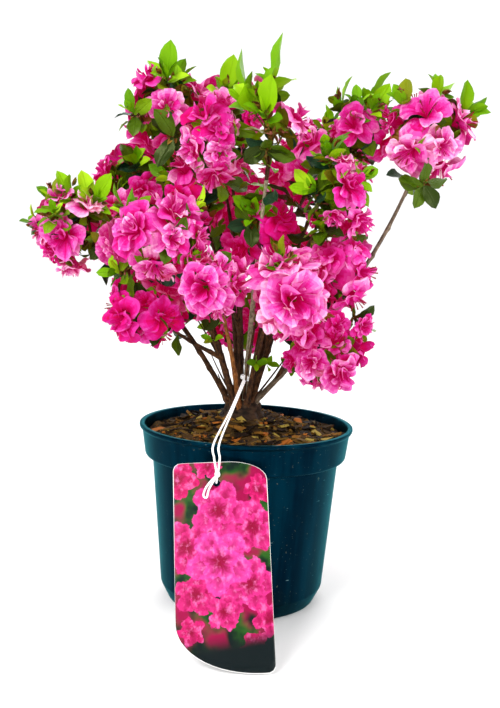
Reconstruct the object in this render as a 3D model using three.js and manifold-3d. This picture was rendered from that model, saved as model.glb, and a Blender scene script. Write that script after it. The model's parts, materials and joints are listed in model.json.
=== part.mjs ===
// A potted evergreen azalea: a round nursery pot filled with bark mulch, a short flared trunk, stems that
// fan out of it, and round each stem's end a mass of double pink blooms, leafy shoots and older leaves.
// A printed plant label leans on the pot and hangs by a white string from the foremost stem.
// Millimetres, +Z up. The origin is the middle of the pot's flat underside, and -Y is the front.
import * as THREE from 'three';
import Module from 'manifold-3d';

const wasm = await Module();
wasm.setup();

// Driving dimensions
const GAP = 0.3;
const POT = {
  height: 158,
  lipRadius: 95,
  lipHeight: 3,
  bandTop: 92.5,
  bandFoot: 89.5,
  bandHeight: 28,
  wallTop: 83,
  wallFoot: 73,
  chamfer: 14,
  footRadius: 66,
  wall: 2,
  sides: 36,
};
const MULCH = { edge: 149, crown: 159, padRadius: 27, slopeRadius: 62, roughness: 1.6, floorGap: 0.35 };
const TRUNK = { x: -4, y: 22, foot: 21, waist: 16.5, top: 15, height: 17, lobes: 5, sides: 15, stubSides: 5 };
const FOOTING = { spread: 15.5, sink: 9, stub: 4.5 };
const LIMB = { tip: 1.5, step: 27, sides: 7, reachIn: 0.82 };
const TWIG = { sides: 3, foot: 0.8, tip: 1, spine: 1.7 };
const BLOOM = {
  radius: 21,
  depth: 0.78,
  rim: 0.82,
  lobes: 5,
  notch: 0.82,
  notchDrop: 0.1,
  whorl: 0.42,
  whorlHeight: 0.6,
  crowding: 0.95,
  reach: 0.8,
  tries: 5,
};
const LEAF = {
  length: 27,
  width: 0.46,
  widest: 0.52,
  droop: 0.12,
  thick: 0.9,
  perShoot: 4,
  vigour: 0.85,
  uplift: 0.5,
  overtop: 0.1,
  tries: 3,
};
const FINEST = 0.16;
const GRID = 0.002;
const THINNEST = 0.001;
const CARD = {
  width: 75,
  height: 163,
  thick: 0.8,
  topArc: [31, 15],
  footArc: [64, 38],
  smallRadius: 6,
  lean: 27,
  yaw: 0.5,
  turn: 4,
  bottomX: -8.3,
  bottomY: -168,
  holeRadius: 3,
  holeDown: 17,
  holeLeft: 3,
};
const STRING = { radius: 0.75, ringHeight: 20, ringClear: 0.6, sides: 4, spread: 2.2, knot: 2.4 };
const CROWN = { heart: new THREE.Vector3(0, 25, 285), width: 190, depth: 130, height: 170 };
const GOLDEN = THREE.MathUtils.degToRad(137.508);

// Each stem: name, the compass angle, reach and rise of its mass's middle from the trunk's top, the
// mass's half width and half height, its blooms and leafy shoots, the bloom size, the bow of the
// stem (above 0 it turns up late), its foot radius, and for a side branch its parent and start share.
const STEMS = [
  ['leader', -77, 76, 230, 28, 55, 3, 6, 0.95, -0.05, 3.0],
  ['left_front', -132, 108, 144, 46, 36, 7, 2, 1.15, -0.1, 3.6],
  ['centre_left', -107, 98, 109, 27, 29, 4, 1, 1.2, -0.12, 2.6],
  ['centre_front', -71, 95, 104, 31, 32, 4, 1, 1.45, -0.16, 2.8],
  ['far_left', -166, 151, 148, 43, 38, 6, 4, 0.95, -0.12, 3.0],
  ['far_right', -12, 155, 238, 43, 42, 6, 5, 1.2, 0.1, 3.2],
  ['right_mid', -38, 88, 185, 34, 41, 6, 4, 1.0, -0.04, 3.6],
  ['upper_left', -167, 75, 252, 39, 42, 8, 3, 1.05, -0.14, 3.2],
  ['upper_mid', -121, 60, 225, 29, 41, 6, 2, 1.05, -0.12, 3.0],
  ['right_up', 0, 96, 239, 34, 41, 5, 4, 0.85, -0.1, 3.0],
  ['back_left', 154, 115, 191, 44, 46, 6, 1, 1.2, -0.1, 3.2],
  ['back_mid', 100, 83, 166, 49, 51, 6, 1, 1.25, -0.12, 3.2],
  ['back_right', 40, 82, 212, 44, 48, 6, 1, 1.2, -0.1, 3.2],
  ['left_low', -148, 98, 83, 36, 29, 6, 1, 1.0, 0.05, 2.2, 'left_front', 0.3],
  ['right_low', -35, 85, 49, 39, 22, 5, 0, 1.1, -0.3, 1.7, 'far_right', 0.1],
  ['right', -24, 90, 120, 31, 52, 7, 1, 1.08, 0.05, 2.0, 'far_right', 0.22],
  ['centre_mid', -154, 51, 182, 33, 37, 6, 1, 1.0, 0.0, 2.0, 'upper_mid', 0.3],
  ['centre_back', -59, 23, 150, 37, 41, 7, 1, 1.0, 0.0, 2.0, 'right_mid', 0.3],
  ['back_left_low', 141, 76, 94, 42, 38, 6, 1, 1.15, 0.05, 2.2, 'back_left', 0.3],
  ['back_top', 120, 50, 251, 43, 45, 6, 2, 1.15, -0.05, 2.2, 'back_mid', 0.35],
  ['back_right_low', 42, 79, 109, 42, 44, 6, 1, 1.15, 0.05, 2.2, 'back_right', 0.28],
  ['back_low', 91, 68, 67, 43, 33, 6, 1, 1.1, 0.05, 2.0, 'back_mid', 0.25],
].map(([name, compass, reach, rise, across, tall, blooms, shoots, size, bow, thick, parent, share]) => ({
  name,
  compass: THREE.MathUtils.degToRad(compass),
  reach,
  rise,
  across,
  tall,
  blooms,
  shoots,
  size,
  bow,
  thick,
  parent,
  share,
}));

// The colours of the plant, its pot and its label
const paint = (colour, roughness) => new THREE.MeshStandardMaterial({ color: colour, roughness, metalness: 0 });
const PAINTS = {
  pot: paint(0x0d2a33, 0.4),
  mulch: paint(0x3a2318, 0.95),
  bark: paint(0x5a3d2b, 0.85),
  blossom: paint(0xe8409a, 0.6),
  card: paint(0xe2559f, 0.35),
  string: paint(0xf2f2ee, 0.7),
};

// A seeded random number from 0 to 1: the classic linear congruential rule on 32 bits.
function randomFrom(seed) {
  let state = (seed * 7919 + 17) >>> 0;
  return () => {
    state = (Math.imul(1664525, state) + 1013904223) >>> 0;
    return state / 4294967296;
  };
}

// A closed mesh through rings of points, which need not have the same count. An end ring may be a
// single point, which closes that end, and an end ring of several points gets a fan about its middle.
function loft(rings) {
  const points = [];
  const faces = [];
  const starts = rings.map((ring) => {
    points.push(...ring);
    return points.length - ring.length;
  });
  const cap = (ring, start, flip) => {
    if (ring.length === 1) return;
    if (ring.length === 3) {
      faces.push(flip ? [start, start + 2, start + 1] : [start, start + 1, start + 2]);
      return;
    }
    const middle = points.length;
    points.push(ring.reduce((sum, p) => sum.add(p), new THREE.Vector3()).divideScalar(ring.length));
    ring.forEach((_, i) => {
      const next = start + ((i + 1) % ring.length);
      faces.push(flip ? [middle, next, start + i] : [middle, start + i, next]);
    });
  };
  cap(rings[0], starts[0], true);
  cap(rings[rings.length - 1], starts[rings.length - 1], false);
  for (let k = 0; k + 1 < rings.length; k += 1) {
    const [here, there] = [rings[k].length, rings[k + 1].length];
    let [i, j] = [0, 0];
    while (i < here || j < there) {
      const low = starts[k] + (i % here);
      const high = starts[k + 1] + (j % there);
      if (j === there || (i < here && (i + 1) / here <= (j + 1) / there)) {
        if (here > 1) faces.push([low, starts[k] + ((i + 1) % here), high]);
        i += 1;
      } else {
        if (there > 1) faces.push([low, starts[k + 1] + ((j + 1) % there), high]);
        j += 1;
      }
    }
  }
  return solidOf(points, faces);
}

// Points and faces as a manifold solid that faces outwards.
function solidOf(points, faces) {
  const build = (order) =>
    new wasm.Manifold(
      new wasm.Mesh({
        numProp: 3,
        vertProperties: new Float32Array(points.flatMap((p) => [p.x, p.y, p.z])),
        triVerts: new Uint32Array(faces.flatMap(order)),
      }),
    );
  const made = build((f) => f);
  return made.volume() > 0 ? made : build((f) => [f[0], f[2], f[1]]);
}

// A solid as a three.js geometry.
function geometryOf(solid) {
  const mesh = solid.getMesh();
  return new THREE.BufferGeometry()
    .setAttribute('position', new THREE.BufferAttribute(Float32Array.from(mesh.vertProperties), 3))
    .setIndex(new THREE.BufferAttribute(Uint32Array.from(mesh.triVerts), 1));
}

// A three.js geometry of a closed shape as a solid.
function solidFrom(geometry) {
  const place = geometry.attributes.position;
  const seen = new Map();
  const points = [];
  const ids = [];
  for (let i = 0; i < place.count; i += 1) {
    const p = new THREE.Vector3().fromBufferAttribute(place, i);
    const key = [p.x, p.y, p.z].map((x) => Math.round(x * 1e4)).join();
    if (!seen.has(key)) {
      seen.set(key, points.length);
      points.push(p);
    }
    ids.push(seen.get(key));
  }
  const order = geometry.index ? Array.from(geometry.index.array) : ids.map((_, i) => i);
  const faces = [];
  for (let i = 0; i < order.length; i += 3) {
    const face = order.slice(i, i + 3).map((k) => ids[k]);
    if (new Set(face).size === 3) faces.push(face);
  }
  return solidOf(points, faces);
}

// Two directions square to a direction and to each other.
function crossAxes(along) {
  const helper = Math.abs(along.z) < 0.9 ? new THREE.Vector3(0, 0, 1) : new THREE.Vector3(1, 0, 0);
  const first = helper.clone().cross(along).normalize();
  return [first, along.clone().cross(first).normalize()];
}

// A ring of points round a middle, square to a direction.
function ringAt(middle, [first, second], radius, sides, turn = 0) {
  return Array.from({ length: sides }, (_, i) => {
    const angle = turn + (i / sides) * Math.PI * 2;
    return middle
      .clone()
      .addScaledVector(first, radius * Math.cos(angle))
      .addScaledVector(second, radius * Math.sin(angle));
  });
}

// A limb or string: a tube along a curve that tapers from one radius to another.
function taperedTube(curve, steps, from, to, sides) {
  const frames = curve.computeFrenetFrames(steps, false);
  return loft(
    Array.from({ length: steps + 1 }, (_, k) =>
      ringAt(
        curve.getPointAt(k / steps),
        [frames.normals[k], frames.binormals[k]],
        from + ((to - from) * k) / steps,
        sides,
      ),
    ),
  );
}

// A twig is one straight three-sided spike from its foot to its tip.
function twig(foot, tip) {
  const axes = crossAxes(tip.clone().sub(foot).normalize());
  return loft([ringAt(foot, axes, TWIG.foot, TWIG.sides), ringAt(tip, axes, TWIG.tip, TWIG.sides)]);
}

// A leaf is a pointed blade of eight faces: foot, tip, two edges, and a ridge above and below.
function leaf(foot, along, face, length) {
  const side = along.clone().cross(face).normalize();
  const up = side.clone().cross(along).normalize();
  const middle = foot.clone().addScaledVector(along, LEAF.widest * length);
  const tip = foot.clone().addScaledVector(along, length).addScaledVector(up, -LEAF.droop * length);
  const points = [
    foot,
    middle.clone().addScaledVector(side, (LEAF.width * length) / 2),
    tip,
    middle.clone().addScaledVector(side, (-LEAF.width * length) / 2),
    middle.clone().addScaledVector(up, LEAF.thick / 2),
    middle.clone().addScaledVector(up, -LEAF.thick / 2),
  ];
  const faces = [];
  for (let i = 0; i < 4; i += 1) {
    const j = (i + 1) % 4;
    faces.push([i, j, 4], [j, i, 5]);
  }
  return solidOf(points, faces);
}

// A bloom is a funnel that opens from its stalk to a rim of rounded lobes, with a raised inner whorl.
function bloom(foot, calyx, facing, radius, turn) {
  const axes = crossAxes(facing);
  const deep = BLOOM.depth * radius;
  const sides = BLOOM.lobes * 2;
  const rim = Array.from({ length: sides }, (_, i) => {
    const angle = turn + (i / sides) * Math.PI * 2;
    const notch = i % 2;
    const out = radius * (notch ? BLOOM.notch : 1);
    return calyx
      .clone()
      .addScaledVector(axes[0], out * Math.cos(angle))
      .addScaledVector(axes[1], out * Math.sin(angle))
      .addScaledVector(facing, deep * (BLOOM.rim - notch * BLOOM.notchDrop));
  });
  const heart = calyx.clone().addScaledVector(facing, deep * BLOOM.whorlHeight);
  const whorl = ringAt(heart, axes, radius * BLOOM.whorl, BLOOM.lobes, turn);
  const slant = crossAxes(calyx.clone().sub(foot).normalize());
  return loft([
    ringAt(foot, slant, TWIG.foot, TWIG.sides),
    ringAt(calyx, axes, TWIG.tip, TWIG.sides, turn),
    rim,
    whorl,
    [calyx.clone().addScaledVector(facing, deep)],
  ]);
}

// The frame of a stem: where it leaves the trunk or its parent, how it bows, and the space of its mass.
const trunkTop = new THREE.Vector3(TRUNK.x, TRUNK.y, MULCH.crown + GAP + TRUNK.height);
const limbCurves = new Map();

function layOut(stem) {
  const away = new THREE.Vector3(Math.cos(stem.compass), Math.sin(stem.compass), 0);
  const middle = trunkTop.clone().addScaledVector(away, stem.reach);
  middle.z += stem.rise;
  const space = new THREE.Vector3(stem.across, stem.across, stem.tall);
  const parent = limbCurves.get(stem.parent);
  const upright = stem.rise / Math.hypot(stem.rise, stem.reach);
  const spread = FOOTING.spread * Math.sqrt(1 - upright ** 2) + 2.5;
  const base = parent
    ? parent.getPointAt(stem.share)
    : trunkTop.clone().addScaledVector(away, spread).add(new THREE.Vector3(0, 0, -3));
  const chord = middle.clone().sub(base);
  const square = away.clone().multiplyScalar(chord.z).sub(new THREE.Vector3(0, 0, chord.dot(away)));
  const bend = base.clone().addScaledVector(chord, 0.5).addScaledVector(square, stem.bow);
  const inward = bend.clone().sub(middle).normalize();
  const rim = 1 / inward.clone().divide(space).length();
  const tip = middle.clone().addScaledVector(inward, rim * LIMB.reachIn);
  const leave = bend.clone().sub(base).normalize();
  const clear = parent ? 0 : FOOTING.stub + GAP;
  const start = base.clone().addScaledVector(leave, clear);
  const curve = new THREE.QuadraticBezierCurve3(start, bend, tip);
  limbCurves.set(stem.name, curve);
  return { ...stem, away, middle, space, base, leave, tip, curve };
}

const stems = STEMS.map(layOut);

// The limb of a stem, a tube that tapers along its curve.
function limbSolid(stem, grow = 0) {
  const steps = Math.max(4, Math.round(stem.curve.getLength() / LIMB.step));
  const sides = stem.parent ? LIMB.sides - 1 : LIMB.sides;
  return taperedTube(stem.curve, steps, stem.thick + grow, LIMB.tip + grow, sides);
}

// All limbs. Each is cut clear of its parent's bark and of any earlier limb it brushes.
function growLimbs() {
  const limbs = new Map();
  stems.forEach((stem, index) => {
    const earlier = stems.slice(0, index);
    const whole = limbSolid(stem);
    const near = earlier.filter((other) => whole.minGap(limbs.get(other.name), 2 * GAP) < GAP);
    const cut = near.reduce((solid, other) => solid.subtract(limbSolid(other, GAP)), whole);
    limbs.set(stem.name, fuse([cut]));
  });
  return limbs;
}

// The largest body of a solid.
function largest(solid) {
  return solid.decompose().sort((a, b) => b.volume() - a.volume())[0];
}

// The height of a face over its longest side.
function thinness([a, b, c]) {
  const area = b.clone().sub(a).cross(c.clone().sub(a)).length();
  return area / Math.max(a.distanceTo(b), b.distanceTo(c), c.distanceTo(a));
}

// A solid rebuilt on corners rounded to a fine grid, with the height of its thinnest face, or nothing if
// rounding opens it: every edge of the faces that are left must be shared by two faces, and they must
// still make one closed body.
function settled(solid) {
  const mesh = solid.getMesh();
  const ids = new Map();
  const points = [];
  const corners = Array.from({ length: mesh.numVert }, (_, i) => {
    const steps = Array.from(mesh.vertProperties.slice(3 * i, 3 * i + 3), (x) => Math.round(x / GRID));
    const key = steps.join();
    if (!ids.has(key)) ids.set(key, points.push(new THREE.Vector3(...steps).multiplyScalar(GRID)) - 1);
    return ids.get(key);
  });
  const faces = [];
  const edges = new Map();
  for (let i = 0; i < mesh.triVerts.length; i += 3) {
    const face = Array.from(mesh.triVerts.slice(i, i + 3), (k) => corners[k]);
    if (new Set(face).size < 3) continue;
    faces.push(face);
    face.forEach((from, k) => {
      const edge = [from, face[(k + 1) % 3]].sort().join(' ');
      edges.set(edge, (edges.get(edge) ?? 0) + 1);
    });
  }
  if ([...edges.values()].some((count) => count !== 2)) return null;
  const made = solidOf(points, faces);
  if (made.numTri() !== faces.length || made.decompose().length > 1) return null;
  return { made, thinnest: Math.min(...faces.map((face) => thinness(face.map((k) => points[k])))) };
}

// The union of some solids as one body that also stays closed when rounded and has no sliver of a face:
// a little coarser each time, and if that never helps, without one of its later solids. Where a sliver
// always stays, the union with the least thin one is taken.
function fuse(solids) {
  let best = { thinnest: 0 };
  for (let spare = solids.length; spare > 0; spare -= 1) {
    const whole = largest(wasm.Manifold.union(solids.filter((_, i) => i !== spare)));
    for (let coarse = 1; coarse < 2; coarse += 0.05) {
      const next = settled(whole.simplify(FINEST * coarse));
      if (next?.thinnest > THINNEST) return next.made;
      if (next?.thinnest > best.thinnest) best = next;
    }
  }
  return best.made;
}

// The trunk: a flared and lobed foot with a flat cut, and a stub towards each main stem.
function growTrunk() {
  const foot = MULCH.crown + GAP;
  const level = (height, radius, flare) =>
    Array.from({ length: TRUNK.sides }, (_, i) => {
      const angle = (i / TRUNK.sides) * Math.PI * 2;
      const out = radius * (1 + flare * Math.cos(TRUNK.lobes * angle + 0.6));
      return new THREE.Vector3(TRUNK.x + out * Math.cos(angle), TRUNK.y + out * Math.sin(angle), foot + height);
    });
  const column = loft([
    level(0, TRUNK.foot, 0.16),
    level(0.3 * TRUNK.height, TRUNK.waist, 0.08),
    level(0.75 * TRUNK.height, TRUNK.top, 0.04),
    level(TRUNK.height, TRUNK.top * 0.72, 0),
  ]);
  const stubs = stems
    .filter((stem) => !stem.parent)
    .map((stem) => {
      const from = stem.base.clone().addScaledVector(stem.leave, -FOOTING.sink);
      const to = stem.base.clone().addScaledVector(stem.leave, FOOTING.stub);
      const frame = stem.curve.computeFrenetFrames(1, false);
      const axes = [frame.normals[0], frame.binormals[0]];
      const { stubSides } = TRUNK;
      return loft([ringAt(from, axes, stem.thick * 1.5, stubSides), ringAt(to, axes, stem.thick, stubSides)]);
    });
  return fuse([column, ...stubs]);
}

// The growing tips of a mass by the seeded rule: blooms spread over a cap about the crown's outward
// direction, the first one at its pole, and leafy shoots between them, turned up to the light. Each tip
// has a few tries, turned and smaller by turns, and takes the first that has room.
function tipsOf(stem, index) {
  const random = randomFrom(index + 1);
  const outward = stem.middle.clone().sub(CROWN.heart);
  outward.divide(new THREE.Vector3(CROWN.width ** 2, CROWN.depth ** 2, CROWN.height ** 2)).normalize();
  outward.z += LEAF.overtop * (1 - stem.shoots);
  outward.normalize();
  const [first, second] = crossAxes(outward);
  const turn = random() * Math.PI * 2;
  const rimRadius = BLOOM.reach * Math.cbrt(stem.across * stem.across * stem.tall);
  const share = 1 - Math.cos(Math.asin(Math.min(0.8, (BLOOM.crowding * BLOOM.radius * stem.size) / rimRadius)));
  const spread = Math.min(1.6, (stem.blooms * share) / 0.8);
  const onCap = (part, around) => {
    const tilt = Math.acos(1 - spread * part);
    return outward
      .clone()
      .multiplyScalar(Math.cos(tilt))
      .addScaledVector(first, Math.sin(tilt) * Math.cos(around))
      .addScaledVector(second, Math.sin(tilt) * Math.sin(around));
  };
  const tips = [];
  for (let k = 0; k < stem.blooms; k += 1) {
    const part = k ? (k + 0.75 + 0.3 * random()) / (stem.blooms + 0.4) : 0;
    const size = stem.size * (0.88 + 0.24 * random());
    const tries = Array.from({ length: BLOOM.tries }, (_, t) => ({
      facing: onCap(part + 0.04 * t, turn + k * GOLDEN + 0.9 * t),
      radius: BLOOM.radius * size * (1 - 0.03 * t),
    }));
    tips.push({ kind: 'bloom', tries, leaves: k % 2 });
  }
  for (let k = 0; k < stem.shoots; k += 1) {
    const part = (k + 0.3 + 0.4 * random()) / stem.shoots;
    const length = LEAF.length * (LEAF.vigour + 0.4 * random()) * (stem.tall / 40);
    const tries = Array.from({ length: LEAF.tries }, (_, t) => {
      const facing = onCap(part, turn + (k + 0.5) * GOLDEN + 0.7 * t);
      facing.z = Math.abs(facing.z) + LEAF.uplift;
      return { facing: facing.normalize(), radius: length };
    });
    tips.push({ kind: 'shoot', tries, leaves: LEAF.perShoot });
  }
  return tips.map((tip, k) => ({
    ...tip,
    turn: random() * Math.PI * 2,
    foot: 0.25 + (0.7 * (k + 0.5)) / tips.length,
  }));
}

// The solids of one try of a growing tip: first what bears, a bloom on its stalk or a shoot's twig, then
// the leaves.
function tipSolids(stem, tip, { facing, radius }, spine) {
  const rim = 1 / facing.clone().divide(stem.space).length();
  const foot = spine.getPoint(tip.foot);
  const blooms = tip.kind === 'bloom';
  const seat = blooms
    ? Math.max(3, rim * BLOOM.reach - BLOOM.depth * BLOOM.rim * radius)
    : Math.max(6, rim - 0.25 * radius);
  const end = stem.middle.clone().addScaledVector(facing, seat);
  const bearer = blooms ? bloom(foot, end, facing, radius, tip.turn) : twig(foot, end);
  const leaves = Array.from({ length: tip.leaves }, (_, k) => {
    const joint = end.clone().lerp(foot, 0.02 + 0.06 * k);
    const open = blooms ? 84 : 20 + (50 * k) / (tip.leaves - 1);
    const length = blooms ? LEAF.length : radius * (0.8 + 0.3 * Math.sin(k * 2.4 + tip.turn));
    return leafAround(joint, facing, tip.turn + k * GOLDEN, open, length);
  });
  return [bearer, ...leaves];
}

// A leaf that leaves a twig's end at a spin about it and an opening angle from it, in degrees.
function leafAround(end, axis, spin, open, length) {
  const [first, second] = crossAxes(axis);
  const out = first.multiplyScalar(Math.cos(spin)).addScaledVector(second, Math.sin(spin));
  const angle = THREE.MathUtils.degToRad(open);
  const along = axis.clone().multiplyScalar(Math.cos(angle)).addScaledVector(out, Math.sin(angle));
  const face = axis.clone().multiplyScalar(Math.sin(angle)).addScaledVector(out, -Math.cos(angle));
  return leaf(end, along, face, length);
}

// Whether a solid keeps its distance from every solid of a list.
function keepsClear(solid, others) {
  const own = solid.boundingBox();
  return others.every(({ solid: other, box }) => {
    const apart = [0, 1, 2].some((a) => own.min[a] > box.max[a] + GAP || box.min[a] > own.max[a] + GAP);
    return apart || solid.minGap(other, 2 * GAP) >= GAP;
  });
}

const boxed = (solid) => ({ solid, box: solid.boundingBox() });

// The masses, grown one after another. A twig, bloom or leaf that would come too near a limb or a
// neighbouring mass is left out, and a twig that bears nothing goes with it.
function growMasses(limbs, trunk) {
  const taken = [boxed(trunk), ...[...limbs.values()].map(boxed)];
  const masses = new Map();
  stems.forEach((stem, index) => {
    const along = stem.curve.getTangentAt(1);
    const start = stem.tip.clone().addScaledVector(along, GAP + 0.02);
    const spine = new THREE.QuadraticBezierCurve3(
      start,
      start.clone().lerp(stem.middle, 0.5),
      stem.middle.clone().addScaledVector(along, 4),
    );
    const grown = [taperedTube(spine, 2, LIMB.tip, TWIG.spine, LIMB.sides - 2)];
    const leavesHere = [];
    const bloomsHere = [];
    tipsOf(stem, index).forEach((tip) => {
      const solids = tip.tries
        .map((attempt) => tipSolids(stem, tip, attempt, spine))
        .find(([bearer], t) => keepsClear(bearer, taken) && (t === 0 || keepsClear(bearer, bloomsHere)));
      if (!solids) return;
      const [bearer, ...leaves] = solids;
      const kept = leaves.filter((solid) => {
        const fits = keepsClear(solid, taken) && keepsClear(solid, leavesHere);
        if (fits) leavesHere.push(boxed(solid));
        return fits;
      });
      if (tip.kind === 'shoot' && !kept.length) return;
      if (tip.kind === 'bloom') {
        leavesHere.push(boxed(bearer));
        bloomsHere.push(boxed(bearer));
      }
      grown.push(bearer, ...kept);
    });
    masses.set(stem.name, fuse(grown));
    taken.push(...grown.map(boxed));
  });
  return masses;
}

// The pot: a turned profile, up the outside from the underside to the lip and down the inside.
function potGeometry() {
  const { height, lipRadius, lipHeight, bandTop, bandFoot, bandHeight } = POT;
  const { wallTop, wallFoot, chamfer, footRadius, wall, sides } = POT;
  const bandLow = height - bandHeight;
  const outline = [
    [0, 0],
    [footRadius, 0],
    [wallFoot, chamfer],
    [wallTop, bandLow],
    [bandFoot - 1.2, bandLow],
    [bandFoot, bandLow + 1.5],
    [bandTop, height - lipHeight - 1.5],
    [lipRadius, height - lipHeight],
    [lipRadius, height],
    [bandTop - wall, height],
    [bandFoot - wall, bandLow + 3],
    [wallTop - wall, bandLow - 3],
    [wallFoot - wall, chamfer],
    [footRadius - wall, wall + 1],
    [0, wall + 1],
  ];
  return new THREE.LatheGeometry(
    outline.map(([r, z]) => new THREE.Vector2(r, z)),
    sides,
  ).rotateX(Math.PI / 2);
}

// The height of the mulch: level at the rim, a flat pad under the trunk and a slope between, all rough.
function mulchHeight(x, y) {
  const far = Math.hypot(x - TRUNK.x, y - TRUNK.y);
  const slope = THREE.MathUtils.smoothstep(far, MULCH.padRadius, MULCH.slopeRadius);
  const bumps = Math.sin(x * 0.21 + 1.3) * Math.cos(y * 0.17) + Math.sin(x * 0.09 - y * 0.13);
  const rough = MULCH.roughness * bumps * Math.min(1, slope * 3);
  return MULCH.crown + (MULCH.edge - MULCH.crown) * slope + rough;
}

// The mulch fills the pot: rings up its side, then rings inwards over the rough top.
function mulchSolid() {
  const clear = POT.wall + MULCH.floorGap;
  const sides = POT.sides;
  const ring = (radius, height) =>
    Array.from({ length: sides }, (_, i) => {
      const angle = (i / sides) * Math.PI * 2;
      const [x, y] = [radius * Math.cos(angle), radius * Math.sin(angle)];
      return new THREE.Vector3(x, y, height ?? mulchHeight(x, y));
    });
  const bandLow = POT.height - POT.bandHeight;
  return loft([
    ring(POT.footRadius - clear - 1, POT.wall + 1 + MULCH.floorGap),
    ring(POT.wallFoot - clear - 0.2, POT.chamfer + 0.4),
    ring(POT.wallTop - clear - 0.2, bandLow - 3),
    ring(POT.bandFoot - clear - 0.2, bandLow + 3.4),
    ring(POT.bandFoot - clear, undefined),
    ring(0.75 * POT.bandFoot, undefined),
    ring(0.5 * POT.bandFoot, undefined),
    ring(0.25 * POT.bandFoot, undefined),
    [new THREE.Vector3(0, 0, mulchHeight(0, 0))],
  ]);
}

// The label: a thin card with two broad and two tight corners and a hole for its string.
function cardShape() {
  const { width, height, topArc, footArc, smallRadius } = CARD;
  const [w, h] = [width / 2, height / 2];
  const shape = new THREE.Shape();
  shape.moveTo(-w + smallRadius, h);
  shape.lineTo(w - topArc[0], h);
  shape.ellipse(0, -topArc[1], topArc[0], topArc[1], Math.PI / 2, 0, true);
  shape.lineTo(w, -h + smallRadius);
  shape.absarc(w - smallRadius, -h + smallRadius, smallRadius, 0, -Math.PI / 2, true);
  shape.lineTo(-w + footArc[0], -h);
  shape.ellipse(0, footArc[1], footArc[0], footArc[1], -Math.PI / 2, -Math.PI, true);
  shape.lineTo(-w, h - smallRadius);
  shape.absarc(-w + smallRadius, h - smallRadius, smallRadius, Math.PI, Math.PI / 2, true);
  const hole = new THREE.Path();
  hole.absarc(-CARD.holeLeft, h - CARD.holeDown, CARD.holeRadius, 0, Math.PI * 2, false);
  shape.holes.push(hole);
  return shape;
}

// The card's frame: its own x runs along its width, its y up its height and its z out of its face. Its
// foot stands on the floor the pot stands on.
function cardFrame() {
  const { degToRad } = THREE.MathUtils;
  const middle = new THREE.Group();
  middle.rotation.order = 'ZXY';
  middle.rotation.set(degToRad(90 - CARD.lean), 0, degToRad(CARD.yaw));
  const inPlane = new THREE.Group();
  inPlane.rotation.z = degToRad(CARD.turn);
  middle.add(inPlane);
  middle.updateMatrixWorld(true);
  const turned = inPlane.matrixWorld.clone();
  turned.multiply(new THREE.Matrix4().makeTranslation(0, CARD.height / 2, -CARD.thick));
  const plate = cardPlate().applyMatrix4(turned);
  plate.computeBoundingBox();
  const lift = GAP - plate.boundingBox.min.z;
  return new THREE.Matrix4().makeTranslation(CARD.bottomX, CARD.bottomY, lift).multiply(turned);
}

// The card as a flat plate, its back in the plane of its own x and y.
function cardPlate() {
  return new THREE.ExtrudeGeometry(cardShape(), { depth: CARD.thick, bevelEnabled: false, curveSegments: 6 });
}

const cardPlace = cardFrame();
const onCard = (x, y, z) => new THREE.Vector3(x, y, z + CARD.thick).applyMatrix4(cardPlace);

// The string: a ring round the leader's foot, two strands over the pot's lip and a knot at the card,
// with an end that goes through the hole.
function stringSolid() {
  const leader = stems[0];
  const share = STRING.ringHeight / leader.curve.getLength();
  const middle = leader.curve.getPointAt(share);
  const axes = crossAxes(leader.curve.getTangentAt(share));
  const ringRadius = leader.thick + STRING.ringClear + STRING.radius;
  const ring = new THREE.CatmullRomCurve3(ringAt(middle, axes, ringRadius, 14), true);
  const band = loopTube(ring, 12, STRING.radius, STRING.sides);
  const front = middle.clone().add(new THREE.Vector3(-1, -ringRadius, 0));
  const hole = [-CARD.holeLeft, CARD.height / 2 - CARD.holeDown];
  const knot = onCard(hole[0] + 1, hole[1] + 6.5, STRING.knot + GAP + 0.1);
  const over = new THREE.Vector3(-23, -POT.lipRadius - 2.4, POT.height + 2.2);
  const strands = [-1, 1].map((side) => {
    const aside = (point, share2) => point.clone().add(new THREE.Vector3(side * STRING.spread * share2, 0, 0));
    const path = new THREE.CatmullRomCurve3([
      aside(front, 0.4),
      aside(front.clone().lerp(over, 0.5).add(new THREE.Vector3(0, 0, -1)), 0.8),
      aside(over, 1),
      aside(over.clone().lerp(knot, 0.5).add(new THREE.Vector3(0, -2.4, 1)), 1),
      aside(knot, 0.2),
    ]);
    return taperedTube(path, 10, STRING.radius, STRING.radius, STRING.sides);
  });
  const ball = solidFrom(new THREE.IcosahedronGeometry(STRING.knot, 0).translate(knot.x, knot.y, knot.z));
  const end = new THREE.CatmullRomCurve3([
    knot,
    onCard(hole[0] + 0.3, hole[1] + 2.5, 1.6),
    onCard(hole[0], hole[1] + 0.6, -CARD.thick - 1.2),
  ]);
  const tail = taperedTube(end, 5, STRING.radius, STRING.radius, STRING.sides);
  return fuse([band, ...strands, ball, tail]);
}

// A closed loop of tube, such as a ring of string.
function loopTube(curve, steps, radius, sides) {
  const frames = curve.computeFrenetFrames(steps, true);
  const points = [];
  const faces = [];
  for (let k = 0; k < steps; k += 1) {
    points.push(...ringAt(curve.getPointAt(k / steps), [frames.normals[k], frames.binormals[k]], radius, sides));
    for (let i = 0; i < sides; i += 1) {
      const j = (i + 1) % sides;
      const [here, there] = [k * sides, ((k + 1) % steps) * sides];
      faces.push([here + i, here + j, there + j], [here + i, there + j, there + i]);
    }
  }
  return solidOf(points, faces);
}

const shrub = new THREE.Group();
shrub.name = 'potted_azalea';

function addNode(name, geometry, material) {
  const mesh = new THREE.Mesh(geometry, material);
  mesh.name = name;
  shrub.add(mesh);
}

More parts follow.
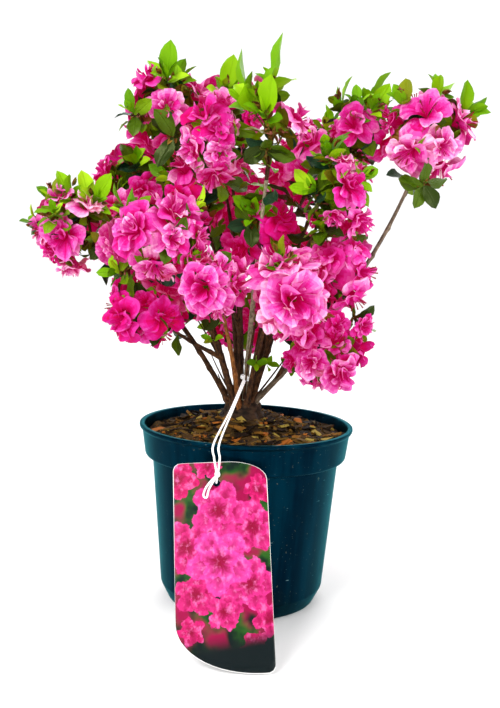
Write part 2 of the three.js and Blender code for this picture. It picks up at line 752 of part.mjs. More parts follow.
addNode('pot', potGeometry(), PAINTS.pot);
addNode('mulch', geometryOf(mulchSolid()), PAINTS.mulch);
const trunk = growTrunk();
addNode('trunk', geometryOf(trunk), PAINTS.bark);
const limbs = growLimbs();
limbs.forEach((solid, name) => addNode(`stem_${name}`, geometryOf(solid), PAINTS.bark));
growMasses(limbs, trunk).forEach((solid, name) => addNode(`mass_${name}`, geometryOf(solid), PAINTS.blossom));
addNode('label_card', cardPlate().applyMatrix4(cardPlace), PAINTS.card);
addNode('label_string', geometryOf(stringSolid()), PAINTS.string);

export default shrub;
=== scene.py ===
# %% [markdown]
# # A potted azalea in full bloom
# The real plant is a young evergreen azalea in a round nursery pot. Slim brown stems fan out of one short
# trunk, and each ends in a crowd of ruffled pink blooms with bright young shoots and dark older leaves.
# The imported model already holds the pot, the trunk, every stem and a plain solid for each mass of bloom.
# It is loaded first and never moved, so that whatever is modelled here lands where the real parts are.

# %% Load the fixed frame
import json
import math
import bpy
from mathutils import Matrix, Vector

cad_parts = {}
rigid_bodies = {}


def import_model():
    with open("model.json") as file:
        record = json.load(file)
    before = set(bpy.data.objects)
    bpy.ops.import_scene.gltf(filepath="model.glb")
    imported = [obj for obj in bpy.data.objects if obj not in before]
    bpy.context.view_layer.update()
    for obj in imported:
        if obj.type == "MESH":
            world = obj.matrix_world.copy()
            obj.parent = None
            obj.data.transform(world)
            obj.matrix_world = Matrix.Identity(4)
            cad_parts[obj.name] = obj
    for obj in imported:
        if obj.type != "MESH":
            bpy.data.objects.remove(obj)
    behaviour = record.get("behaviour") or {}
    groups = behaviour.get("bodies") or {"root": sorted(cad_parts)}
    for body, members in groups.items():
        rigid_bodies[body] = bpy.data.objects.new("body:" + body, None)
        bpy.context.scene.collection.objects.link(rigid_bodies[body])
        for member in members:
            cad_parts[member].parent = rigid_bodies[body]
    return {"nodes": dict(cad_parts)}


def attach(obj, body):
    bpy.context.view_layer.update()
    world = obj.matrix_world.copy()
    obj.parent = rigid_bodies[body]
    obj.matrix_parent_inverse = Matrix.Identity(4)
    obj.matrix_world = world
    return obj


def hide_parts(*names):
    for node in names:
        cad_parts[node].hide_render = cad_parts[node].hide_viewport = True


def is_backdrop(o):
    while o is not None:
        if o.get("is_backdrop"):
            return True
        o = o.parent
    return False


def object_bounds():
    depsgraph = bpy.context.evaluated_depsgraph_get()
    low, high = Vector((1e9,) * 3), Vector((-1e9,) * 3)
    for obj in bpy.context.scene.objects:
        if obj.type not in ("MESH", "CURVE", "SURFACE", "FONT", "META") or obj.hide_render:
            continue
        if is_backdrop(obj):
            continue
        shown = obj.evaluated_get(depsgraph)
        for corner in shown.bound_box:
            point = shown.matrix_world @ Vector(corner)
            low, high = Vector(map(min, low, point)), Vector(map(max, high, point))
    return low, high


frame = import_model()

from types import SimpleNamespace

import bpy
import numpy as np
from mathutils import Matrix

cad_low, cad_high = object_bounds()
print("frame:", len(frame["nodes"]), "nodes, from", tuple(cad_low), "to", tuple(cad_high))

# %% [markdown]
# ## Surfaces as arrays
# A petal, a stem and a pot are all a grid of points: one number runs along the shape and one across it.
# Such a grid is worked out with numpy in one go, and its faces follow from its rows and columns alone.
# A heap gathers many grids and makes them one mesh, because thousands of separate objects are slow to
# draw and hard to hand on. Points are in millimetres, as a gardener would measure them, until they become
# a mesh in metres.

# %% Directions and grids
MM = 0.001
WHOLE_TURN = 2 * math.pi


def unit(vectors):
    """Vectors divided by their own lengths."""
    vectors = np.asarray(vectors, float)
    return vectors / np.linalg.norm(vectors, axis=-1, keepdims=True)


def side_by_side(*parts):
    """Numbers, rows and columns spread to one common grid, and set side by side on a last axis."""
    return np.stack(np.broadcast_arrays(*parts), -1)


def whole_circle(count):
    """Angles at even steps once round, without the last one, which is the first again."""
    return np.linspace(0, WHOLE_TURN, count, endpoint=False)


def length_along(path):
    """How far along a path each of its points lies."""
    return np.concatenate([[0], np.cumsum(np.linalg.norm(np.diff(path, axis=0), axis=1))])


def rings_about_axis(radius, height, turns):
    """Rings of points about the upright axis, one for each radius and height."""
    angle = whole_circle(turns)
    return side_by_side(radius[:, None] * np.cos(angle), radius[:, None] * np.sin(angle), height[:, None])


def grid_faces(rows, columns, closed=False):
    """The four-sided faces of a grid of points that is stored row by row. Closed joins each row's ends."""
    row, column = np.meshgrid(np.arange(rows - 1), np.arange(columns - (not closed)), indexing="ij")
    after = (column + 1) % columns
    low, high = row * columns, (row + 1) * columns
    return np.stack([low + column, low + after, high + after, high + column], -1).reshape(-1, 4)


def end_fans(rows, columns):
    """Fans of triangles that close both ends of a ringed grid. Their middles are the two points that
    follow the grid's own: the first ring's, then the last ring's."""
    side = np.arange(columns)
    after = (side + 1) % columns
    last = rows * columns
    foot = side_by_side(last, after, side)
    tip = side_by_side(last + 1, last - columns + side, last - columns + after)
    return np.concatenate([foot, tip])


print("a grid of 3 rows and 4 columns has", len(grid_faces(3, 4)), "faces")

# %% Heaps


class Heap:
    """Many small surfaces that end as one mesh: points, faces, a finish for each face, and a flat map."""

    def __init__(self):
        self.points, self.faces, self.finishes, self.maps = [], [], [], []
        self.count = 0

    def add(self, points, *face_sets, finish=0, flat_map=None):
        """Adds points (n by 3, in millimetres) and their faces, in sets of m by 3 or 4, with one finish
        for them all or one for each face of a set."""
        points = np.asarray(points, float).reshape(-1, 3)
        self.points.append(points)
        for faces in face_sets:
            self.faces.append(faces + self.count)
            self.finishes.append(np.broadcast_to(finish, len(faces)))
        self.maps.append(np.zeros((len(points), 2)) if flat_map is None else flat_map)
        self.count += len(points)

    def add_copies(self, shape, origins, axes, finish):
        """Adds a shape once for each origin: its x, y and z are taken along the three axes of that copy.
        Origins are k by 3, axes k by 3 by 3 with the scale in them, and finish k by faces."""
        copies = origins[:, None] + np.einsum("nc,kcd->knd", shape.points, axes)
        total = len(shape.points)
        steps = np.arange(len(origins))[:, None, None] * total
        faces = (shape.faces[None] + steps).reshape(-1, shape.faces.shape[1])
        flat_map = np.tile(shape.flat_map, (len(origins), 1))
        self.add(copies, faces, finish=finish.reshape(-1), flat_map=flat_map)

    def piece(self, name, finishes, slot, stands_for=(), smooth=True):
        """Makes the heap one object that rides with the plant and stands for some of the frame's nodes."""
        loops = np.concatenate([f.ravel() for f in self.faces]).astype(np.int32)
        sides = np.concatenate([np.full(len(f), f.shape[1]) for f in self.faces])
        mesh = bpy.data.meshes.new(name)
        mesh.vertices.add(self.count)
        mesh.vertices.foreach_set("co", (np.concatenate(self.points) * MM).astype(np.float32).ravel())
        mesh.loops.add(len(loops))
        mesh.loops.foreach_set("vertex_index", loops)
        mesh.polygons.add(len(sides))
        starts = np.concatenate([[0], np.cumsum(sides)[:-1]])
        mesh.polygons.foreach_set("loop_start", starts.astype(np.int32))
        mesh.polygons.foreach_set("material_index", np.concatenate(self.finishes).astype(np.int32))
        mesh.polygons.foreach_set("use_smooth", np.full(len(sides), smooth))
        flat_map = mesh.uv_layers.new(name="flat_map")
        flat_map.uv.foreach_set("vector", np.concatenate(self.maps)[loops].astype(np.float32).ravel())
        for finish in finishes:
            mesh.materials.append(finish)
        mesh.update(calc_edges=True)
        mesh.validate()
        made = bpy.data.objects.new(name, mesh)
        bpy.context.scene.collection.objects.link(made)
        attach(made, "root")
        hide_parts(*stands_for)
        print(f"{name}: {(sides - 2).sum()} triangles")


print("a new heap holds", Heap().count, "points")

# %% Tubes


def tube(path, radius, sides, across):
    """A closed tube. Each point of the path gets a ring square to the path, of the radius given for it or
    for each of its sides, starting from a fixed direction across. A point at each end closes the tube."""
    path = np.asarray(path, float)
    along = unit(np.gradient(path, axis=0))
    second = unit(np.cross(along, across))
    first = np.cross(second, along)
    angle = whole_circle(sides)
    spokes = np.cos(angle)[:, None] * first[:, None] + np.sin(angle)[:, None] * second[:, None]
    reach = np.asarray(radius, float)
    reach = np.broadcast_to(reach[:, None] if reach.ndim == 1 else reach, (len(path), sides))
    rings = path[:, None] + reach[..., None] * spokes
    points = np.concatenate([rings.reshape(-1, 3), path[:1], path[-1:]])
    far = length_along(path)
    ring_map = side_by_side(angle / WHOLE_TURN, far[:, None]).reshape(-1, 2)
    flat_map = np.concatenate([ring_map, [[0, far[0]]], [[0, far[-1]]]])
    return points, grid_faces(len(path), sides, closed=True), end_fans(len(path), sides), flat_map


def add_tube(heap, path, radius, sides, across, finish=0):
    """Adds a closed tube to a heap."""
    points, quads, fans, flat_map = tube(path, radius, sides, across)
    heap.add(points, quads, fans, finish=finish, flat_map=flat_map)


print("grids, heaps and tubes are ready")

# %% [markdown]
# ## Finishes as formulas
# A finish is a network of nodes. Written out node by node it hides its meaning, so a small class wraps
# one socket and lets plain arithmetic build the Math nodes. Everything else, such as a noise or a bump,
# comes from one method that takes the node's type, its settings and its inputs.

# %% Shader maths


class Value:
    """A socket that can be used in sums."""

    def __init__(self, finish, socket):
        self.finish, self.socket = finish, socket

    def sums(self, operation, *terms):
        """A Math node on the given terms, in their order."""
        return self.finish.node("ShaderNodeMath", {"operation": operation}, dict(enumerate(terms)))

    def math(self, operation, *others):
        """A Math node on this value and then the others."""
        return self.sums(operation, self, *others)

    def __add__(self, other):
        return self.math("ADD", other)

    def __sub__(self, other):
        return self.math("SUBTRACT", other)

    def __rsub__(self, other):
        return self.sums("SUBTRACT", other, self)

    def __mul__(self, other):
        return self.math("MULTIPLY", other)

    def __truediv__(self, other):
        return self.math("DIVIDE", other)

    def __rtruediv__(self, other):
        return self.sums("DIVIDE", other, self)

    __radd__ = __add__
    __rmul__ = __mul__

    def clipped(self, low=0.0, high=1.0):
        """How far the value is from low to high, as 0 to 1."""
        inputs = {0: self, 1: low, 2: high, 3: 0.0, 4: 1.0}
        return self.finish.node("ShaderNodeMapRange", {"interpolation_type": "SMOOTHSTEP"}, inputs)


print("values can be added, subtracted, multiplied and divided")

# %% Colours and finishes


def linear(red, green, blue):
    """A colour that is given as it looks on a screen, from 0 to 255, as the shader's own numbers."""
    shares = np.array([red, green, blue]) / 255
    bent = np.where(shares <= 0.04045, shares / 12.92, ((shares + 0.055) / 1.055) ** 2.4)
    return (*bent.tolist(), 1.0)


class Finish:
    """A material in the making, around one Principled shader whose constant sockets are set by name."""

    def __init__(self, name, **constants):
        self.material = bpy.data.materials.new(name)
        self.material.use_nodes = True
        self.tree = self.material.node_tree
        self.shader = self.tree.nodes["Principled BSDF"]
        for socket, value in constants.items():
            self.shader.inputs[socket.replace("_", " ")].default_value = value

    def put(self, socket, value):
        """A value or a link into one socket."""
        if isinstance(value, Value):
            self.tree.links.new(value.socket, socket)
        else:
            socket.default_value = value

    def node(self, kind, settings=None, inputs=None, output=0):
        """Adds a node: its settings first, a ramp's stops among them, then its inputs."""
        made = self.tree.nodes.new(kind)
        settings = dict(settings or {})
        stops = settings.pop("stops", ())
        for name, value in settings.items():
            setattr(made, name, value)
        for place, (at, colour) in enumerate(stops):
            ramp = made.color_ramp.elements
            stop = ramp[place] if place < 2 else ramp.new(at)
            stop.position, stop.color = at, colour
        for name, value in (inputs or {}).items():
            self.put(made.inputs[name], value)
        return Value(self, made.outputs[output])

    def place(self, kind="Object"):
        return self.node("ShaderNodeTexCoord", output=kind)

    def part(self, vector, axis):
        """The x, y or z of a vector, for an axis of 0, 1 or 2."""
        return self.node("ShaderNodeSeparateXYZ", inputs={0: vector}, output=axis)

    def stretched(self, vector, scale):
        return self.node("ShaderNodeMapping", inputs={"Vector": vector, "Scale": scale})

    def noise(self, vector, scale=1.0, detail=3.0, roughness=0.55):
        inputs = {"Vector": vector, "Scale": scale, "Detail": detail, "Roughness": roughness}
        return self.node("ShaderNodeTexNoise", inputs=inputs)

    def mix(self, share, first, second):
        """Blends two colours by a share."""
        settings = {"data_type": "RGBA", "clamp_factor": True}
        return self.node("ShaderNodeMix", settings, {0: share, 6: first, 7: second}, output=2)

    def link(self, socket, value):
        self.put(self.shader.inputs[socket], value)

    def bump(self, height, depth, strength=1.0):
        """Bends the light as if the surface rose by height times depth, in metres."""
        inputs = {"Strength": strength, "Distance": depth, "Height": height}
        self.link("Normal", self.node("ShaderNodeBump", inputs=inputs))


print("a middle grey is", round(linear(128, 128, 128)[0], 3), "to the shader")

# %% [markdown]
# ## Camera, room and light
# The picture was taken from about the height of the crown's middle: the camera tips down by 7.5 degrees
# and leans 2 degrees. The plant stood before pure white. A pale bowl of a room with a round foot gives
# that from every side, where a flat floor would show a horizon. Large soft lights and a white sky keep
# the shadows light, as in the picture.

# %% Camera and room
PHOTO = SimpleNamespace(height=708, focal_pixels=990.4)
camera_data = bpy.data.cameras.new("camera")
camera_data.sensor_width = 36.0
camera_data.lens = PHOTO.focal_pixels / PHOTO.height * camera_data.sensor_width
camera_data.clip_start, camera_data.clip_end = 0.01, 100.0
camera = bpy.data.objects.new("camera", camera_data)
bpy.context.scene.collection.objects.link(camera)
bpy.context.scene.camera = camera
CAMERA_PLACE, TIP_DOWN, LEAN = (0.0012, -0.8713, 0.3349), 0.131, 0.034
camera.matrix_world = (
    Matrix.Translation(CAMERA_PLACE)
    @ Matrix.Rotation(math.pi / 2 - TIP_DOWN, 4, "X")
    @ Matrix.Rotation(LEAN, 4, "Z")
)


def room_surface(flat=2200.0, bend=900.0, wall=2600.0, below=0.6, turns=96):
    """A bowl: a flat round floor a hair below the pot, a quarter-circle bend at its edge and an upright
    wall, turned about the upright axis."""
    arc = np.linspace(0, np.pi / 2, 13)
    radius = np.concatenate([[1, flat / 2], flat + bend * np.sin(arc), [flat + bend]])
    height = np.concatenate([[0, 0], bend * (1 - np.cos(arc)), [wall]]) - below
    points = rings_about_axis(radius, height, turns)
    return points.reshape(-1, 3), grid_faces(len(radius), turns, closed=True)


def paper_finish():
    """Matt white paper with the faintest mottling."""
    paper = Finish("room_paper", Roughness=0.9)
    cloud = paper.noise(paper.place(), 3.0, 2.0)
    paper.link("Base Color", paper.mix(cloud, (0.93, 0.93, 0.93, 1), (0.96, 0.96, 0.96, 1)))
    return paper.material


def make_room():
    """The room as a stage of its own, which doesn't belong to the plant."""
    points, faces = room_surface()
    mesh = bpy.data.meshes.new("room")
    mesh.from_pydata((points * MM).tolist(), [], faces.tolist())
    mesh.polygons.foreach_set("use_smooth", np.full(len(faces), True))
    mesh.materials.append(paper_finish())
    room = bpy.data.objects.new("room", mesh)
    bpy.context.scene.collection.objects.link(room)
    room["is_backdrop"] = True
    print("room:", len(faces), "faces")


make_room()

# %% Soft light
SKY = 0.8
LAMPS = {
    "key": ((-1.0, -1.4, 1.5), 0.9, 36.0),
    "fill": ((1.5, -0.9, 0.8), 1.2, 16.0),
    "rear": ((0.3, 1.6, 1.4), 1.4, 16.0),
}


def add_lamp(name, place, size, power):
    """A square soft lamp that faces the middle of the crown, 0.3 m up."""
    data = bpy.data.lights.new(name, "AREA")
    data.size, data.energy = size, power
    lamp = bpy.data.objects.new(name, data)
    bpy.context.scene.collection.objects.link(lamp)
    away = unit(np.array(place) - [0.0, 0.0, 0.3])
    across = unit(np.cross([0, 0, 1], away))
    turn = Matrix(np.stack([across, np.cross(away, across), away], -1).tolist()).to_4x4()
    lamp.matrix_world = Matrix.Translation(place) @ turn


for lamp_name, (lamp_place, lamp_size, lamp_power) in LAMPS.items():
    add_lamp(lamp_name, lamp_place, lamp_size, lamp_power)

world = bpy.data.worlds.new("sky")
world.use_nodes = True
world.node_tree.nodes["Background"].inputs["Color"].default_value = (1, 1, 1, 1)
world.node_tree.nodes["Background"].inputs["Strength"].default_value = SKY
bpy.context.scene.world = world
bpy.context.scene.view_settings.view_transform = "Standard"
bpy.context.scene.view_settings.look = "None"
print("lamps:", ", ".join(LAMPS))

# %% [markdown]
# ## The pot
# A round nursery pot is pressed from dark petrol-coloured plastic: a tapered wall, a wide band at its
# mouth with a small rolled lip, and a chamfered foot. The outline is turned about the upright axis. Each
# corner of the outline is eased with a small curve first, because sharp plastic edges look like paper,
# and because the light along a rounded lip is what shows that it is plastic. In the picture even the
# gleam on the pot is petrol-coloured, where plain plastic would gleam white. So its finish is mostly
# metallic, since a metal tints what it mirrors.

# %% Pot shape
POT = SimpleNamespace(
    height=158, lip_radius=95, lip_height=3, band_top=92.5, band_foot=89.5, band_height=28,
    wall_top=83, wall_foot=73, chamfer=14, foot_radius=66, foot_ring=9, recess=1.6, wall=2,
)


def eased(outline, ease=1.2, steps=4):
    """An outline with each inner corner replaced by a curve that starts and ends a short way from it:
    the curve is (1-t)^2 times its start, 2t(1-t) times the corner and t^2 times its end."""
    outline = np.asarray(outline, float)
    corner, before, after = outline[1:-1], outline[:-2], outline[2:]
    step_in = np.minimum(ease, 0.4 * np.linalg.norm(before - corner, axis=1))[:, None]
    step_out = np.minimum(ease, 0.4 * np.linalg.norm(after - corner, axis=1))[:, None]
    start = corner + unit(before - corner) * step_in
    end = corner + unit(after - corner) * step_out
    t = np.linspace(0, 1, steps)[None, :, None]
    curve = (1 - t) ** 2 * start[:, None] + 2 * t * (1 - t) * corner[:, None] + t**2 * end[:, None]
    return np.concatenate([outline[:1], curve.reshape(-1, 2), outline[-1:]])


def turned(outline, turns):
    """Points (radius, height) of an outline carried round the upright axis. Its ends lie on the axis,
    each as one point with a fan of faces."""
    rings = rings_about_axis(outline[1:-1, 0], outline[1:-1, 1], turns)
    ends = [[0, 0, outline[0, 1]], [0, 0, outline[-1, 1]]]
    points = np.concatenate([rings.reshape(-1, 3), ends])
    return points, grid_faces(len(rings), turns, closed=True), end_fans(len(rings), turns)


def pot_outline():
    """Up the outside from the middle of the underside to the lip, and down the inside. The underside has
    a shallow recess within its foot ring."""
    low = POT.height - POT.band_height
    ring = POT.foot_radius - POT.foot_ring
    return [
        (0, POT.recess), (ring - 2, POT.recess), (ring, 0), (POT.foot_radius, 0),
        (POT.wall_foot, POT.chamfer), (POT.wall_top, low),
        (POT.band_foot - 1.2, low), (POT.band_foot, low + 1.5),
        (POT.band_top, POT.height - POT.lip_height - 1.5), (POT.lip_radius, POT.height - POT.lip_height),
        (POT.lip_radius, POT.height), (POT.band_top - POT.wall, POT.height),
        (POT.band_foot - POT.wall, low + 3), (POT.wall_top - POT.wall, low - 3),
        (POT.wall_foot - POT.wall, POT.chamfer), (POT.foot_radius - POT.wall, POT.wall + 1),
        (0, POT.wall + 1),
    ]


def pot_finish():
    """Dark petrol plastic: softly glossy, with faint upright streaks, pale scuffs, and soil dust low down."""
    pot = Finish("pot_plastic", Metallic=0.85, Specular_Tint=(0, 0.66, 0.72, 1), Specular_IOR_Level=0.1)
    place = pot.place()
    streaks = pot.noise(pot.stretched(place, (70, 70, 5)), detail=4.0)
    smears = pot.noise(pot.stretched(place, (34, 34, 12)), detail=4.0, roughness=0.6)
    scuffs = pot.noise(pot.stretched(place, (90, 90, 330)), detail=2.0).clipped(0.72, 0.78)
    specks = pot.noise(place, 420.0, 2.0).clipped(0.68, 0.74)
    low_down = 1 - pot.part(place, 2).clipped(0.0, 0.05)
    dust = (smears.clipped(0.55, 0.85) * 0.25 + low_down * smears.clipped(0.4, 0.7) * 0.5).clipped(0, 1)
    plain = pot.mix(streaks.clipped(0.35, 0.7), linear(0, 16, 31), linear(1, 34, 49))
    dusty = pot.mix(dust * 0.4, plain, linear(58, 70, 62))
    marked = pot.mix(scuffs * 0.5, dusty, linear(128, 160, 164))
    pot.link("Base Color", pot.mix(specks * 0.4, marked, linear(110, 108, 92)))
    pot.link("Roughness", smears * 0.16 + dust * 0.3 + 0.26)
    pot.bump(streaks * 0.4 + specks + scuffs, 0.0002, 0.3)
    return pot.material


def make_pot():
    """The outline, eased and then turned."""
    heap = Heap()
    heap.add(*turned(eased(pot_outline()), 144))
    heap.piece("pot_shell", [pot_finish()], "pot", ["pot"])


make_pot()

# %% [markdown]
# ## Soil and bark chips
# The pot is topped with dark, crumbly soil strewn with chips of bark: flat splinters in browns from near
# black to orange. The soil is a round sheet whose height follows the frame's own formula, roughened, and
# closed below. Chips and crumbs are one small six-sided block each, bent out of true in every corner and
# strewn at random, about two thousand in all.

# %% Soil
TRUNK = SimpleNamespace(x=-4.0, y=22.0, foot=21.0, waist=16.5, top=15.0, height=17.0, lobes=5)
MULCH = SimpleNamespace(
    edge=149.0, crown=159.0, pad=27.0, slope=62.0, roughness=1.6, reach=88.6, skirt=79.0, foot=127.0,
)


def soil_height(x, y):
    """Level at the rim, a flat pad round the trunk, a smooth slope between, and two sine waves over it."""
    far = np.hypot(x - TRUNK.x, y - TRUNK.y)
    share = np.clip((far - MULCH.pad) / (MULCH.slope - MULCH.pad), 0, 1)
    slope = share * share * (3 - 2 * share)
    bumps = np.sin(x * 0.21 + 1.3) * np.cos(y * 0.17) + np.sin(x * 0.09 - y * 0.13)
    smooth = MULCH.crown + (MULCH.edge - MULCH.crown) * slope
    return smooth + MULCH.roughness * bumps * np.minimum(1, slope * 3)


def soil_finish():
    """Moist peat: nearly black with brown grains, rough all over."""
    soil = Finish("soil_peat", Roughness=0.95, Specular_IOR_Level=0.2)
    place = soil.place()
    grains = soil.noise(place, 420.0, 5.0, 0.7)
    patches = soil.noise(place, 60.0, 3.0)
    stops = [(0.3, linear(16, 10, 3)), (0.52, linear(54, 38, 12)), (0.75, linear(112, 88, 36))]
    ramp = soil.node("ShaderNodeValToRGB", {"stops": stops}, {0: grains * 0.7 + patches * 0.3})
    soil.link("Base Color", ramp)
    soil.bump(grains, 0.002, 0.9)
    return soil.material


def make_soil():
    """Rings of points from the skirt below, over the rim and in to the middle, each at the soil's height
    with fine grains, and closed at both ends."""
    rng = np.random.default_rng(3)
    rings, turns, grain = 44, 150, 0.55
    radius = np.linspace(0, 1, rings)[1:] ** 0.8 * MULCH.reach
    angle = whole_circle(turns)
    x, y = radius[:, None] * np.cos(angle), radius[:, None] * np.sin(angle)
    rough = rng.normal(0, grain, x.shape)
    rough[-1] = 0
    top = side_by_side(x, y, soil_height(x, y) + rough)[::-1]
    inner = MULCH.skirt / MULCH.reach
    skirt = side_by_side(x[-1] * inner, y[-1] * inner, MULCH.foot)[None]
    rows = np.concatenate([skirt, top])
    ends = [[0, 0, MULCH.foot], [0, 0, soil_height(0, 0)]]
    points = np.concatenate([rows.reshape(-1, 3), ends])
    heap = Heap()
    heap.add(points, grid_faces(len(rows), turns, closed=True), end_fans(len(rows), turns))
    heap.piece("soil_bed", [soil_finish()], "mulch", ["mulch"])


make_soil()

# %% Bark chips and crumbs
CHIP_TONES = [(26, 15, 5), (60, 42, 14), (92, 68, 22), (118, 80, 24), (152, 88, 28), (150, 130, 56)]
CHIP_SHARES = [0.36, 0.28, 0.17, 0.08, 0.06, 0.05]
CHIPS = SimpleNamespace(
    chips=560, sizes=((6, 21), (3, 8.5), (0.8, 2.2)), crumbs=1500, crumb=(0.9, 3.0), reach=84.0,
)


def chip_finish(place, tone):
    """Torn bark: one brown, with a fibrous bump along the chip."""
    chip = Finish(f"bark_chip_{place}", Base_Color=linear(*tone), Specular_IOR_Level=0.15)
    fibre = chip.noise(chip.stretched(chip.place(), (500, 200, 700)), detail=4.0, roughness=0.65)
    chip.link("Roughness", fibre * 0.3 + 0.65)
    chip.bump(fibre, 0.0012, 0.8)
    return chip.material


def block_corners(rng, count, size, tear):
    """Blocks as count by 8 corners: the corners of a box of the given sizes, each moved at random."""
    signs = np.array([[x, y, z] for z in (-1, 1) for y in (-1, 1) for x in (-1, 1)], float)
    taper = 1 - 0.45 * rng.random((count, 1, 1)) * (signs[None, :, :1] > 0)
    return signs[None] * size[:, None] / 2 * taper * (1 + tear * rng.normal(0, 1, (count, 8, 3)))


def scatter_blocks(heap, rng, size, tear, lift, tilt):
    """Lays blocks of the given sizes on the soil inside the pot and clear of the trunk, tilted and turned
    at random. Of four times as many places, the first that are clear are taken."""
    count = len(size)
    distance = (CHIPS.reach - size.max() / 4) * np.sqrt(rng.random(4 * count))
    angle = rng.random(4 * count) * WHOLE_TURN
    spot = side_by_side(distance * np.cos(angle), distance * np.sin(angle))
    clear = np.hypot(spot[:, 0] - TRUNK.x, spot[:, 1] - TRUNK.y) > TRUNK.foot + 1
    x, y = spot[clear][:count].T
    heading, pitch, roll = rng.random(count) * WHOLE_TURN, *rng.normal(0, tilt, (2, count))
    x_axis = unit(side_by_side(np.cos(heading), np.sin(heading), pitch))
    y_axis = side_by_side(-np.sin(heading), np.cos(heading), roll)
    z_axis = unit(np.cross(x_axis, y_axis))
    axes = np.stack([x_axis, np.cross(z_axis, x_axis), z_axis], 1)
    points = np.einsum("knc,kcd->knd", block_corners(rng, count, size, tear), axes)
    points += side_by_side(x, y, soil_height(x, y) + lift * size[:, 2])[:, None]
    box = np.array([[0, 2, 3, 1], [4, 5, 7, 6], [0, 1, 5, 4], [2, 6, 7, 3], [0, 4, 6, 2], [1, 3, 7, 5]])
    faces = (box[None] + 8 * np.arange(count)[:, None, None]).reshape(-1, 4)
    tone = rng.choice(len(CHIP_TONES), count, p=CHIP_SHARES)
    heap.add(points, faces, finish=np.repeat(tone, 6))


def make_chips():
    """Flat chips first, then crumbs, which are nearly as thick as they are wide."""
    rng = np.random.default_rng(11)
    heap = Heap()
    chips = np.stack([rng.uniform(*sizes, CHIPS.chips) for sizes in CHIPS.sizes], -1)
    scatter_blocks(heap, rng, chips, tear=0.16, lift=0.55, tilt=0.24)
    crumbs = rng.uniform(*CHIPS.crumb, (CHIPS.crumbs, 1)) * rng.uniform(0.6, 1.1, (CHIPS.crumbs, 3))
    scatter_blocks(heap, rng, crumbs, tear=0.2, lift=0.3, tilt=0.6)
    finishes = [chip_finish(place, tone) for place, tone in enumerate(CHIP_TONES)]
    heap.piece("bark_chips", finishes, "mulch", ["mulch"], smooth=False)


make_chips()

# %% [markdown]
# ## The plant's own rule
# The frame's solids grew by a seeded rule: each stem leaves the trunk by a compass angle and ends in a
# mass, whose blooms and shoots are dealt over a cap that faces out of the crown. The same rule is written
# again here, so that each fine bloom stands exactly where its plain solid does. Each tip had a few tries,
# and the solid itself tells which one was taken: its corners are where that try puts them.

# %% Driving sizes
FOOTING = SimpleNamespace(spread=15.5, least=2.5, dip=3.0, sink=9.0, stub=4.5, gap=0.3)
LIMB = SimpleNamespace(tip=1.5, reach_in=0.82, slim=0.86, hair=0.02, past=4.0)
BLOOM = SimpleNamespace(
    radius=21, depth=0.78, rim=0.82, notch=0.82, drop=0.1, crowding=0.95, reach=0.8, tries=5,
)
LEAF = SimpleNamespace(length=27, per_shoot=4, vigour=0.85, uplift=0.5, overtop=0.1, tries=3, droop=0.12)
CROWN = SimpleNamespace(heart=np.array([0.0, 25, 285]), size=np.array([190.0, 130, 170]))
GOLDEN = math.radians(137.508)

# Each row: name, compass angle, reach, rise, half width, half height, blooms, shoots, bloom size, bow,
# foot radius, and for a side branch its parent and the share of the parent where it starts.
STEMS = [
    ("leader", -77, 76, 230, 28, 55, 3, 6, 0.95, -0.05, 3.0),
    ("left_front", -132, 108, 144, 46, 36, 7, 2, 1.15, -0.1, 3.6),
    ("centre_left", -107, 98, 109, 27, 29, 4, 1, 1.2, -0.12, 2.6),
    ("centre_front", -71, 95, 104, 31, 32, 4, 1, 1.45, -0.16, 2.8),
    ("far_left", -166, 151, 148, 43, 38, 6, 4, 0.95, -0.12, 3.0),
    ("far_right", -12, 155, 238, 43, 42, 6, 5, 1.2, 0.1, 3.2),
    ("right_mid", -38, 88, 185, 34, 41, 6, 4, 1.0, -0.04, 3.6),
    ("upper_left", -167, 75, 252, 39, 42, 8, 3, 1.05, -0.14, 3.2),
    ("upper_mid", -121, 60, 225, 29, 41, 6, 2, 1.05, -0.12, 3.0),
    ("right_up", 0, 96, 239, 34, 41, 5, 4, 0.85, -0.1, 3.0),
    ("back_left", 154, 115, 191, 44, 46, 6, 1, 1.2, -0.1, 3.2),
    ("back_mid", 100, 83, 166, 49, 51, 6, 1, 1.25, -0.12, 3.2),
    ("back_right", 40, 82, 212, 44, 48, 6, 1, 1.2, -0.1, 3.2),
    ("left_low", -148, 98, 83, 36, 29, 6, 1, 1.0, 0.05, 2.2, "left_front", 0.3),
    ("right_low", -35, 85, 49, 39, 22, 5, 0, 1.1, -0.3, 1.7, "far_right", 0.1),
    ("right", -24, 90, 120, 31, 52, 7, 1, 1.08, 0.05, 2.0, "far_right", 0.22),
    ("centre_mid", -154, 51, 182, 33, 37, 6, 1, 1.0, 0.0, 2.0, "upper_mid", 0.3),
    ("centre_back", -59, 23, 150, 37, 41, 7, 1, 1.0, 0.0, 2.0, "right_mid", 0.3),
    ("back_left_low", 141, 76, 94, 42, 38, 6, 1, 1.15, 0.05, 2.2, "back_left", 0.3),
    ("back_top", 120, 50, 251, 43, 45, 6, 2, 1.15, -0.05, 2.2, "back_mid", 0.35),
    ("back_right_low", 42, 79, 109, 42, 44, 6, 1, 1.15, 0.05, 2.2, "back_right", 0.28),
    ("back_low", 91, 68, 67, 43, 33, 6, 1, 1.1, 0.05, 2.0, "back_mid", 0.25),
]
FIELDS = "name compass reach rise across tall blooms shoots size bow thick parent share".split()
UP = np.array([0.0, 0, 1])
trunk_top = np.array([TRUNK.x, TRUNK.y, MULCH.crown + FOOTING.gap + TRUNK.height])
print("stems:", len(STEMS))

# %% Curves of the stems


def bezier(start, bend, end, t):
    """A curve from start to end, drawn towards bend: (1-t)^2, 2t(1-t) and t^2 times the three points."""
    t = np.asarray(t, float)[..., None]
    return (1 - t) ** 2 * start + 2 * t * (1 - t) * bend + t**2 * end


